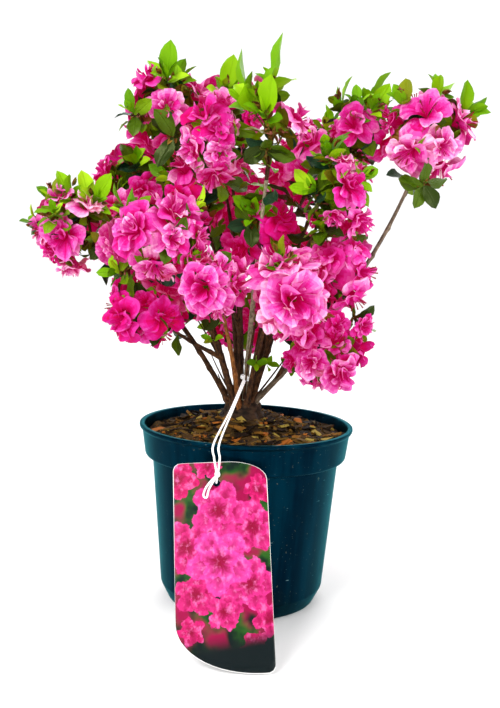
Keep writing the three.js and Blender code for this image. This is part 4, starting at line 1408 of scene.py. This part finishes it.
# %% Leaf finishes
# Last year's greens from nearly black to bright, two of them bluish and two bronze, and how common each
# is. Tufts and whorls are dealt some of them only, by number.
OLD_GREENS = [
    (30, 46, 4), (62, 86, 4), (94, 124, 6), (20, 56, 36), (34, 76, 62), (116, 108, 14), (126, 74, 20),
    (112, 146, 8),
]
OLD_SHARES = [0.10, 0.15, 0.23, 0.05, 0.03, 0.15, 0.09, 0.20]
GREEN_OLD = (0, 1, 1, 2, 2, 3, 4, 7)
DARK_OLD = (0, 0, 0, 1, 1, 3, 1)
YOUNG_GREENS = [(84, 134, 0), (106, 158, 0), (130, 180, 2), (162, 204, 22), (124, 134, 6)]
YOUNG_SHARES = [0.22, 0.3, 0.26, 0.14, 0.08]


def leaf_finish(name, tone, roughness, glow):
    """One green, with a sunken middle vein, side veins that slant forward, and a fine pore grain. A faint
    glow stands for the light that shines through a leaf."""
    green = Finish(
        name, Base_Color=linear(*tone), Specular_IOR_Level=0.3, Specular_Tint=(0.85, 1, 0.4, 1),
        Emission_Color=linear(*tone), Emission_Strength=glow,
    )
    flat = green.place("UV")
    off_middle = (green.part(flat, 0) - 0.5).math("ABSOLUTE")
    slant = green.part(flat, 1) * 9 - off_middle * 5
    side_veins = (slant * WHOLE_TURN).math("SINE").math("ABSOLUTE").clipped(0.0, 0.45)
    grain = green.noise(green.place(), 900.0, 2.0)
    green.link("Roughness", grain * 0.2 + (roughness - 0.1))
    green.bump(off_middle.clipped(0.0, 0.07) + side_veins * 0.5 + grain * 0.25, 0.0006, 0.7)
    return green.material


def leaf_finishes(name, tones, roughness, glow):
    return [leaf_finish(f"{name}_{k}", tone, roughness, glow) for k, tone in enumerate(tones)]


old_leaf_finishes = leaf_finishes("old_leaf", OLD_GREENS, 0.34, 0.07)
young_leaf_finishes = leaf_finishes("young_leaf", YOUNG_GREENS, 0.48, 0.09)
print("greens:", len(old_leaf_finishes) + len(young_leaf_finishes))

# %% Leaves in sprays


class Spray:
    """Leaves waiting to be placed: feet, directions, faces and lengths, kept as arrays."""

    def __init__(self):
        self.rows, self.tones = [], []

    def add(self, frames, tones=()):
        """Adds some leaves, of any green or only of those whose numbers are given."""
        self.rows.append([np.asarray(part, float) for part in frames])
        self.tones += [tones] * len(frames[0])

    def place(self, heap, shapes, shares, rng, apart=2.2):
        """Adds every leaf that keeps clear of the stems to a heap, each with one of the shapes and one
        of the greens."""
        ends, along, face, length = [np.concatenate(parts) for parts in zip(*self.rows)]
        clear = np.ones(len(ends), bool)
        for share in (0.45, 0.75, 1.0):
            spots = ends + along * (share * length)[:, None]
            near = np.array([np.linalg.norm(limb_points - spot, axis=1).min() for spot in spots])
            clear &= near > apart
            clear &= ~np.array([before_bare_stem(spot, 5.0) for spot in spots])
        inside = share_inside(ends, along * length[:, None])
        length = length * inside
        clear &= inside > 0.5
        ends, along, face, length = ends[clear], along[clear], face[clear], length[clear]
        side = unit(np.cross(face, along))
        up = np.cross(along, side)
        axes = np.stack([along, side, up], 1) * length[:, None, None]
        which = rng.integers(len(shapes), size=len(ends))
        tones = rng.choice(len(shares), size=len(ends), p=shares)
        for row, given in enumerate(given for given, kept in zip(self.tones, clear) if kept):
            if given:
                tones[row] = given[rng.integers(len(given))]
        for k, shape in enumerate(shapes):
            chosen = which == k
            finish = np.repeat(tones[chosen][:, None], len(shape.faces), axis=1)
            heap.add_copies(shape, ends[chosen], axes[chosen], finish)
        return len(ends)


def ring_of_leaves(rng, centre, axis, count, opening, length, drop=0.0, roll=0.4):
    """Leaves round an axis by the golden angle, with openings in degrees and lengths from a range. Each is
    rolled about its own length by a random angle in radians, since no two look the same way."""
    k = np.arange(count)
    spin = rng.random() * WHOLE_TURN + k * GOLDEN + rng.normal(0, 0.25, count)
    ends = centre - axis * (drop * k)[:, None]
    opening = np.radians(rng.uniform(*opening, count))
    ends, along, face, length = leaf_frames(ends, axis, spin, opening, rng.uniform(*length, count))
    rolled = rng.normal(0, roll, count)[:, None]
    face = np.cos(rolled) * face + np.sin(rolled) * np.cross(along, face)
    return ends, along, face, length


print("sprays of leaves are ready")

# %% Ends of twigs


def twig_way(tip):
    """The way from a tip's foot on the spine to its end."""
    return unit(tip.end - tip.foot)


def add_shoot(tip, stem, rng, old, young):
    """A shoot: the rule's four long leaves, shorter ones at the point and just below it, and a collar of
    last year's further down. The leader's shoots have only the leaves at the point."""
    way, size = twig_way(tip), tip.radius
    young.add(shoot_leaves(tip.end, tip.foot, tip.facing, size, tip.turn))
    young.add(ring_of_leaves(rng, tip.end, tip.facing, 3, (8, 34), (0.35 * size, 0.7 * size)))
    if stem.name == "leader":
        return
    lower, lowest = tip.end - 4 * way, tip.end - 10 * way
    young.add(ring_of_leaves(rng, lower, tip.facing, 3, (40, 75), (0.45 * size, 0.75 * size), 1.5))
    old.add(ring_of_leaves(rng, lowest, tip.facing, 4, (55, 100), (18, 25), 1.6))


def add_tuft(tip, stem, rng, old, young):
    """A leafy end without a bloom: an open rosette, young within and old without."""
    facing = unit(tip.facing + 0.5 * UP)
    size = min(tip.radius, 20)
    end = tip.end + 0.35 * size * tip.facing
    young.add(ring_of_leaves(rng, end, facing, 5, (18, 62), (0.75 * size, 1.25 * size), 0.8))
    old.add(ring_of_leaves(rng, end - 4 * facing, facing, 5, (50, 88), (size, 1.4 * size), 1.2), GREEN_OLD)
    old.add(ring_of_leaves(rng, end - 11 * facing, facing, 4, (65, 105), (size, 1.3 * size), 1.5))


def add_whorl(tip, stem, rng, old, young):
    """A whorl of broad dark leaves that spread square to their twig."""
    size = min(tip.radius, 19)
    old.add(ring_of_leaves(rng, tip.end, tip.facing, 6, (62, 100), (1.1 * size, 1.5 * size), 0.9), DARK_OLD)


def add_bloom_leaves(tip, stem, rng, old, young):
    """The collar of last year's leaves below a bloom."""
    old.add(ring_of_leaves(rng, tip.end + tip.facing, tip.facing, 5, (60, 110), (16, 27), roll=0.7))


# On bare wood: the stem, how far up it, and the way the sprout points.
SPROUTS = [
    ("centre_front", 0.35, (0.3, -1, 0.4)), ("right_mid", 0.2, (0.9, -0.6, 0.4)),
    ("leader", 0.16, (0.8, -0.5, 0.2)), ("left_front", 0.42, (-0.5, -0.6, 0.5)),
    ("far_right", 0.16, (0.4, -0.8, 0.5)), ("back_mid", 0.3, (0.2, 1, 0.5)),
    ("back_left", 0.35, (-0.4, 0.8, 0.5)),
]


def add_sprouts(rng, young):
    """Small bright leaves that break from the bare wood low on a few stems."""
    for name, share, way in SPROUTS:
        foot = point_at(limb_curves[name], share)
        young.add(ring_of_leaves(rng, foot + 4.5 * unit(way), unit(way), 5, (20, 80), (9, 15), 0.5))


GROW = {"shoot": add_shoot, "tuft": add_tuft, "whorl": add_whorl, "bloom": add_bloom_leaves}
print("sprouts on bare wood:", len(SPROUTS))

# %% All the leaves


def make_leaves():
    """Leaves at every end, along every spine, and as a collar where a stem meets its mass."""
    rng = np.random.default_rng(17)
    old, young = Spray(), Spray()
    for stem in stems:
        for tip in growth[stem.name]:
            if tip.kind in GROW:
                GROW[tip.kind](tip, stem, rng, old, young)
        for centre in bezier(*stem.spine, np.linspace(0.3, 1, 4)):
            old.add(ring_of_leaves(rng, centre, stem.along, 3, (35, 100), (14, 24), 1.0))
        collar = stem.tip - 5 * stem.along
        count = 6 if stem.name == "leader" else 3
        old.add(ring_of_leaves(rng, collar, stem.along, count, (70, 120), (21, 29), 2.0, roll=0.9), GREEN_OLD)
    add_sprouts(rng, young)
    heap_old, heap_young = Heap(), Heap()
    old_count = old.place(heap_old, old_leaf_shapes, OLD_SHARES, rng)
    young_count = young.place(heap_young, young_leaf_shapes, YOUNG_SHARES, rng)
    heap_old.piece("leaves_old", old_leaf_finishes, "leaf", all_masses)
    heap_young.piece("leaves_young", young_leaf_finishes, "leaf", all_masses)
    print("leaves, old and young:", old_count, young_count)


make_leaves()

# %% Scales and buds
SCALE_TONES = [(92, 38, 14), (128, 78, 30), (150, 108, 40), (84, 92, 18), (176, 96, 84)]
SCALE_SHARES = [0.3, 0.28, 0.16, 0.16, 0.1]


def make_bud_scales():
    """Brown and reddish scales below each end, and pointed buds of overlapping scales by the leaves."""
    rng = np.random.default_rng(19)
    scales = Spray()
    for stem in stems:
        for tip in growth[stem.name]:
            below = tip.end - 3 * twig_way(tip)
            scales.add(ring_of_leaves(rng, below, tip.facing, 8, (48, 100), (5, 10), 0.7))
            for _ in range(0 if tip.kind in ("bloom", "whorl") else 2):
                aside = unit(tip.facing + 0.6 * rng.normal(0, 1, 3))
                bud = tip.end + rng.uniform(4, 9) * aside
                scales.add(ring_of_leaves(rng, bud, aside, 6, (4, 22), (6, 9)))
    heap = Heap()
    scale = leaf_shape(0.42, 0.45, 0.8, -0.1, 0.0, 0.0, rows=5, columns=3)
    count = scales.place(heap, [scale], SCALE_SHARES, rng, apart=0)
    heap.piece("bud_scales", leaf_finishes("bud_scale", SCALE_TONES, 0.6, 0.02), "leaf", all_masses)
    print("bud scales:", count)


make_bud_scales()

# %% [markdown]
# ## Twigs and sticks
# Every bloom and tuft is carried by a thin green-brown twig that leaves the end of its stem. Without them
# the blooms would float when seen from below or behind. Between the stems rise a few thin, bare sticks,
# as an old plant has.

# %% Twigs
STICKS = 14


def twig_finish():
    """Young wood: brown green, faintly hairy, darker in patches."""
    twig = Finish("young_wood", Roughness=0.8, Specular_IOR_Level=0.2)
    place = twig.place()
    patch = twig.noise(place, 160.0).clipped(0.35, 0.65)
    twig.link("Base Color", twig.mix(patch, linear(84, 50, 20), linear(122, 108, 34)))
    twig.bump(twig.noise(place, 1500.0, 2.0), 0.0004, 0.6)
    return twig.material


def add_twig(heap, tip, rng):
    """The stalk of one end. It sags and bends a little, and widens again under a bloom."""
    blooms = tip.kind == "bloom"
    sag = rng.normal(0, 0.05, 3) * np.linalg.norm(tip.end - tip.foot)
    bend = (tip.foot + tip.end) / 2 + sag - UP * 1.5
    t = np.linspace(0, 1, 8)
    end = tip.end + tip.facing * (0.02 * tip.radius if blooms else 1.0)
    radius = np.interp(t, [0, 0.8, 1], [1.0, 0.75, 1.1 if blooms else 0.5])
    add_tube(heap, bezier(tip.foot, bend, end, t), radius, 5, cross_axes(unit(end - tip.foot))[0])


def add_stick(heap, rng):
    """A thin bare stick that rises from the trunk between the stems, on the plant's front side."""
    compass, spread = rng.uniform(-math.pi, 0.3), rng.uniform(0.15, 0.7)
    way = unit([math.cos(compass) * spread, math.sin(compass) * spread, 1])
    foot = trunk_top + 10 * way * [1, 1, 0] - [0, 0, 6]
    end = foot + way * rng.uniform(35, 105)
    bend = (foot + end) / 2 + rng.normal(0, 4, 3)
    path = bezier(foot, bend, end, np.linspace(0, 1, 14))
    add_tube(heap, path, np.linspace(1.2, 0.5, 14), 6, cross_axes(way)[0], 1)


def make_twigs():
    """The spine of each mass, a stalk for every end, a stub for every sprout, and the sticks."""
    rng = np.random.default_rng(23)
    heap = Heap()
    for stem in stems:
        t = np.linspace(0, 1, 12)
        across = unit(np.cross(stem.along, UP))
        add_tube(heap, bezier(*stem.spine, t), np.interp(t, [0, 0.12, 1], [1.5, 2.0, 1.3]), 8, across, 1)
        for tip in growth[stem.name]:
            add_twig(heap, tip, rng)
        for name, share, way in SPROUTS:
            if name == stem.name:
                stub = point_at(stem.curve, share) + np.linspace(0, 5, 4)[:, None] * unit(way)
                add_tube(heap, stub, np.full(4, 0.6), 5, UP)
    for _ in range(STICKS):
        add_stick(heap, rng)
    heap.piece("twigs", [twig_finish(), bark_finish("twig", *BARKS["brown"])], "bark", all_masses)


make_twigs()

# %% [markdown]
# ## The label
# A printed plant label leans on the pot and hangs by a white string. Its card is one thin sheet with two
# broad corners and two tight ones, and a punched hole. The sheet is a grid too: from the rim of the hole
# out to the edge of the card, then back again behind, so that it closes on itself without a seam. The
# print is a plain pattern of its own: simple five-petalled flowers over leaf-green and dark ground, with
# a dark foot.

# %% Card frame and outline
CARD = SimpleNamespace(
    width=75.0, height=163.0, thick=0.8, top_arc=(31.0, 15.0), foot_arc=(64.0, 38.0), small=6.0,
    lean=27.0, yaw=0.5, turn=4.0, bottom_x=-8.3, bottom_y=-168.0, hole=3.0, hole_down=17.0, hole_left=3.0,
)


def quarter(middle, radii, start, steps=14):
    """A quarter of an ellipse, clockwise from a start angle in degrees."""
    angle = np.radians(np.linspace(start, start - 90, steps))
    return np.asarray(middle) + np.asarray(radii) * side_by_side(np.cos(angle), np.sin(angle))


def card_outline():
    """The edge of the card, clockwise from its upper left corner."""
    w, h, small = CARD.width / 2, CARD.height / 2, CARD.small
    arc_x, arc_y = CARD.top_arc
    foot_x, foot_y = CARD.foot_arc
    return np.concatenate([
        quarter((w - arc_x, h - arc_y), CARD.top_arc, 90),
        quarter((w - small, -h + small), (small, small), 0, 8),
        quarter((-w + foot_x, -h + foot_y), CARD.foot_arc, -90),
        quarter((-w + small, h - small), (small, small), 180, 8),
    ])


def evenly(outline, count):
    """A closed outline sampled anew at even steps of its length."""
    closed = np.concatenate([outline, outline[:1]])
    far = length_along(closed)
    at = np.linspace(0, far[-1], count, endpoint=False)
    return side_by_side(*(np.interp(at, far, closed[:, axis]) for axis in (0, 1)))


def turn_about(axis, degrees):
    return np.array(Matrix.Rotation(math.radians(degrees), 3, axis))


card_hole = np.array([-CARD.hole_left, CARD.height / 2 - CARD.hole_down])
card_turn = turn_about("Z", CARD.yaw) @ turn_about("X", 90 - CARD.lean) @ turn_about("Z", CARD.turn)
flat_edge = side_by_side(*card_outline().T, 0) + [0, CARD.height / 2, -CARD.thick]
card_foot = np.array([CARD.bottom_x, CARD.bottom_y, FOOTING.gap - (flat_edge @ card_turn.T)[:, 2].min()])


def on_card(points):
    """Points of the card's own frame (across, up, out of its face) as points of the plant's frame."""
    return (np.asarray(points, float) + [0, CARD.height / 2, 0]) @ card_turn.T + card_foot


print("card foot at", card_foot.round(1))

# %% Card print
# Each printed flower: its middle across and up the card and its radius, in millimetres, its turn in
# radians, and how pale it is from 0 to 1.
PRINTED = [
    (4, 150, 17, 0.2, 0.1), (28, 160, 12, 1.0, 0.2), (68, 140, 13, 0.7, 0.15), (60, 20, 12, 0.4, 0.1),
    (10, 96, 22, 0.5, 0.35), (62, 110, 22, 0.9, 0.45), (36, 124, 24, 0.1, 0.6), (16, 60, 17, 1.1, 0.3),
    (58, 66, 22, 0.0, 0.5), (35, 84, 27, 0.4, 0.95), (72, 40, 14, 0.3, 0.3), (12, 32, 11, 0.6, 0.2),
    (38, 46, 15, 1.2, 0.4),
]


def print_finish():
    """The printed face: a soft ground of greens and pinks, simple flowers over it, and a dark foot. A
    flower is drawn twice, the second time smaller and turned. Its edge is 0.7 plus 0.3 times the size of
    a cosine of two and a half times the angle, which gives it five lobes."""
    art = Finish("card_print", Roughness=0.3, Specular_IOR_Level=0.14)
    place = art.place("UV")
    card_x, card_y = art.part(place, 0) * CARD.width, art.part(place, 1) * CARD.height
    ruffle = art.stretched(place, (11, 24, 1))
    x = card_x + (art.noise(ruffle) - 0.5) * 9
    y = card_y + (art.noise(ruffle, 1.13) - 0.5) * 9
    cloud = art.noise(art.stretched(place, (2.4, 5.0, 1)), detail=2.0)
    shade = art.noise(art.stretched(place, (5.0, 10.0, 1)), detail=2.0)
    leafy = art.mix(shade.clipped(0.35, 0.65), linear(2, 20, 17), linear(36, 84, 22))
    colour = art.mix(cloud.clipped(0.45, 0.58), leafy, linear(140, 2, 60))
    petals = 0.0
    for middle_x, middle_y, radius, turn, pale in PRINTED:
        rim = np.array(linear(186, 2, 84)) * (1 - pale) + np.array(linear(214, 60, 148)) * pale
        for share, angle_step in ((1.0, 0.0), (0.6, 0.63)):
            off_x, off_y = (x - middle_x) / (radius * share), (y - middle_y) / (radius * share)
            far = (off_x * off_x + off_y * off_y).math("SQRT")
            angle = off_y.math("ARCTAN2", off_x) + (turn + angle_step)
            edge = (angle * 2.5).math("COSINE").math("ABSOLUTE") * 0.3 + 0.7
            ray = (angle * 12.5).math("COSINE") * 0.08
            body = art.mix((far / edge + ray).clipped(0.15, 1.0), linear(130, 0, 44), tuple(rim))
            inside = (edge - far).clipped(0.0, 0.06)
            colour = art.mix(inside, colour, body)
            petals = inside.math("MAXIMUM", petals)
    folds = art.noise(art.stretched(place, (13, 22, 1)), detail=4.0, roughness=0.6)
    colour = art.mix(petals * folds.clipped(0.5, 0.68) * 0.45, colour, linear(248, 128, 196))
    colour = art.mix(petals * (1 - folds).clipped(0.52, 0.7) * 0.75, colour, linear(140, 2, 62))
    foot = 1 - (card_y - card_x * 0.12).clipped(12.0, 27.0)
    art.link("Base Color", art.mix(foot, colour, linear(6, 18, 20)))
    art.bump(art.noise(art.place(), 260.0, 2.0), 0.0004, 0.15)
    return art.material


def card_stock_finish():
    """The card's white back and edge: coated board with a little tooth."""
    stock = Finish("card_stock", Roughness=0.5)
    fibre = stock.noise(stock.place(), 700.0)
    stock.link("Base Color", stock.mix(fibre, linear(236, 236, 232), linear(250, 250, 248)))
    stock.bump(fibre, 0.0002, 0.3)
    return stock.material


print("printed flowers:", len(PRINTED))

# %% Card sheet


def make_card():
    """Rows of the grid: the hole's rim, out to the edge in front, round the edge, and back behind to the
    hole. The last row joins the first. The card bows a little about its length."""
    count = 132
    edge = evenly(card_outline(), count)
    way = unit(edge - card_hole)
    hole = card_hole + CARD.hole * way
    shares = np.array([0, 0.06, 0.2, 0.4, 0.6, 0.8, 0.95, 0.991, 1.0])
    sheet = hole + (edge - hole) * shares[:, None, None]
    sheet[-2] = edge - 0.45 * way
    front = side_by_side(sheet[..., 0], sheet[..., 1], 0.0)
    back = front[::-1] - [0, 0, CARD.thick]
    front[-1, :, 2] -= 0.25
    back[0, :, 2] += 0.25
    rows = np.concatenate([front, back])
    rows[..., 2] += 1.2 * (1 - (rows[..., 0] / (CARD.width / 2)) ** 2)
    faces = grid_faces(len(rows) + 1, count, closed=True) % (len(rows) * count)
    behind = np.repeat(np.arange(len(rows)) >= len(shares) - 2, count).astype(int)
    flat = rows[..., :2].reshape(-1, 2) / [CARD.width, CARD.height] + 0.5
    heap = Heap()
    heap.add(on_card(rows.reshape(-1, 3)), faces[:, ::-1], finish=behind, flat_map=flat)
    heap.piece("label_card_printed", [print_finish(), card_stock_finish()], "label_card", ["label_card"])


make_card()

# %% [markdown]
# ## The string
# The label's string is thin white cotton: a ring round the foremost stem, two strands that fall over the
# pot's lip, a knot above the hole and a loose loop. Its route is a few points joined by a smooth curve,
# and its twist is in the bump, by the string's own map.

# %% String route
STRING = SimpleNamespace(radius=0.85, ring_height=20.0, ring_clear=0.6, spread=2.2, knot=2.4)


def smooth_path(points, count):
    """A smooth curve through points: on each stretch the cubic whose slope at a point is half the step
    between that point's neighbours."""
    points = np.asarray(points, float)
    padded = np.concatenate([2 * points[:1] - points[1:2], points, 2 * points[-1:] - points[-2:-1]])
    at = np.linspace(0, len(points) - 1, count)
    k = np.minimum(at.astype(int), len(points) - 2)
    t = (at - k)[:, None]
    a, b, c, d = padded[k], padded[k + 1], padded[k + 2], padded[k + 3]
    return 0.5 * (2 * b + (c - a) * t + (2 * a - 5 * b + 4 * c - d) * t**2 + (3 * b - a - 3 * c + d) * t**3)


def coil(turns, count, first, second):
    """Steps of length 1 that go round from a first direction by a second, and the angle of each."""
    angle = np.linspace(0, turns * WHOLE_TURN, count)[:, None]
    return np.cos(angle) * first + np.sin(angle) * second, angle


def string_finish():
    """Two-ply cotton: slanting grooves by the string's own map, darkened as painted shade, and a faint glow,
    painted light that keeps it white in the crown's shade.
    """
    # The white glow is painted light.
    cotton = Finish("cotton_string", Roughness=0.85, Emission_Color=(1, 1, 1, 1), Emission_Strength=0.4)
    flat = cotton.place("UV")
    slant = cotton.part(flat, 0) * 2 + cotton.part(flat, 1) * 0.45
    # Darker in the grooves: painted shade.
    shade = (slant * WHOLE_TURN).math("SINE") * 0.5 + 0.5
    cotton.link("Base Color", cotton.mix(shade, linear(226, 226, 222), linear(252, 252, 250)))
    cotton.bump(shade, 0.0008, 0.8)
    return cotton.material


print("string:", 2 * STRING.radius, "mm thick")

# %% String, knot and loop


def make_string():
    """The ring round the leader and its bow, two strands, the knot, the end through the hole, and the
    loose loop."""
    leader = stems[0]
    side_way, outward = np.array([1.0, 0, 0]), card_turn[:, 2]
    share = STRING.ring_height / length_along(bezier(*leader.curve, np.linspace(0, 1, 200)))[-1]
    middle = point_at(leader.curve, share)
    ahead = unit(point_at(leader.curve, share + 0.01) - middle)
    ring_radius = leader.thick + STRING.ring_clear + STRING.radius
    front = middle + [-1, -ring_radius, 0]
    knot = on_card([card_hole[0] + 1, card_hole[1] + 6.5, STRING.knot + 0.4])
    over = np.array([-23, -POT.lip_radius - 2.4, POT.height + 2.2])
    heap = Heap()

    around, _ = coil(2.5, 60, *cross_axes(ahead))
    ring = middle + ring_radius * around + np.linspace(-1.3, 1.3, 60)[:, None] * ahead
    add_tube(heap, ring, 1.25 * STRING.radius, 8, ahead)
    around, angle = coil(1.75, 40, side_way, UP)
    bow = front + 1.9 * around + 0.6 * np.sin(angle / 2) * np.array([0, -1, 0])
    add_tube(heap, bow, STRING.radius, 8, np.array([0.0, 1, 0]))

    for side in (-1, 1):
        aside = side * STRING.spread * side_way
        route = [
            front + 0.35 * aside,
            (front + over) / 2 - UP + 0.4 * aside,
            over + aside,
            (over + knot) / 2 + [0, -2.4, 1] + aside,
            knot + 0.2 * aside,
        ]
        add_tube(heap, smooth_path(route, 70), STRING.radius, 8, side_way)

    around, angle = coil(2.2, 46, side_way, unit(over - knot))
    turns = knot + 1.5 * around * [1, 1, 1.1] + np.sin(angle * 0.5) * 0.9 * outward
    add_tube(heap, turns, STRING.radius * 0.95, 8, outward)
    below = [(0.3, 2.5, 1.6), (0.0, 0.6, -CARD.thick - 1.2)]
    through = [knot, *on_card(np.array(below) + [*card_hole, 0])]
    add_tube(heap, smooth_path(through, 16), STRING.radius, 8, side_way)
    loop = [
        (1.0, 6.0, 2.6), (-3.5, 2.0, 3.0), (-8.5, -4.0, 2.4), (-10.5, -10.0, 1.9), (-8.0, -11.5, 2.2),
        (-6.0, -5.0, 2.8), (-1.0, 3.0, 3.0),
    ]
    add_tube(heap, smooth_path(on_card(np.array(loop) + [*card_hole, 0]), 60), STRING.radius, 8, outward)
    heap.piece("label_string_cotton", [string_finish()], "label_string", ["label_string"])


make_string()

# %% [markdown]
# ## Growth past the frame
# The frame's box and the box of all that is modelled here are set against each other, and how far the
# growth passes the frame is printed, so that it can be read at once.

# %% Finish
new_low, new_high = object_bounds()
past = np.array([cad_low, new_high], float) - np.array([new_low, cad_high], float)
print("grown past the frame, in mm, low and high:", (past / MM).round(1).tolist())
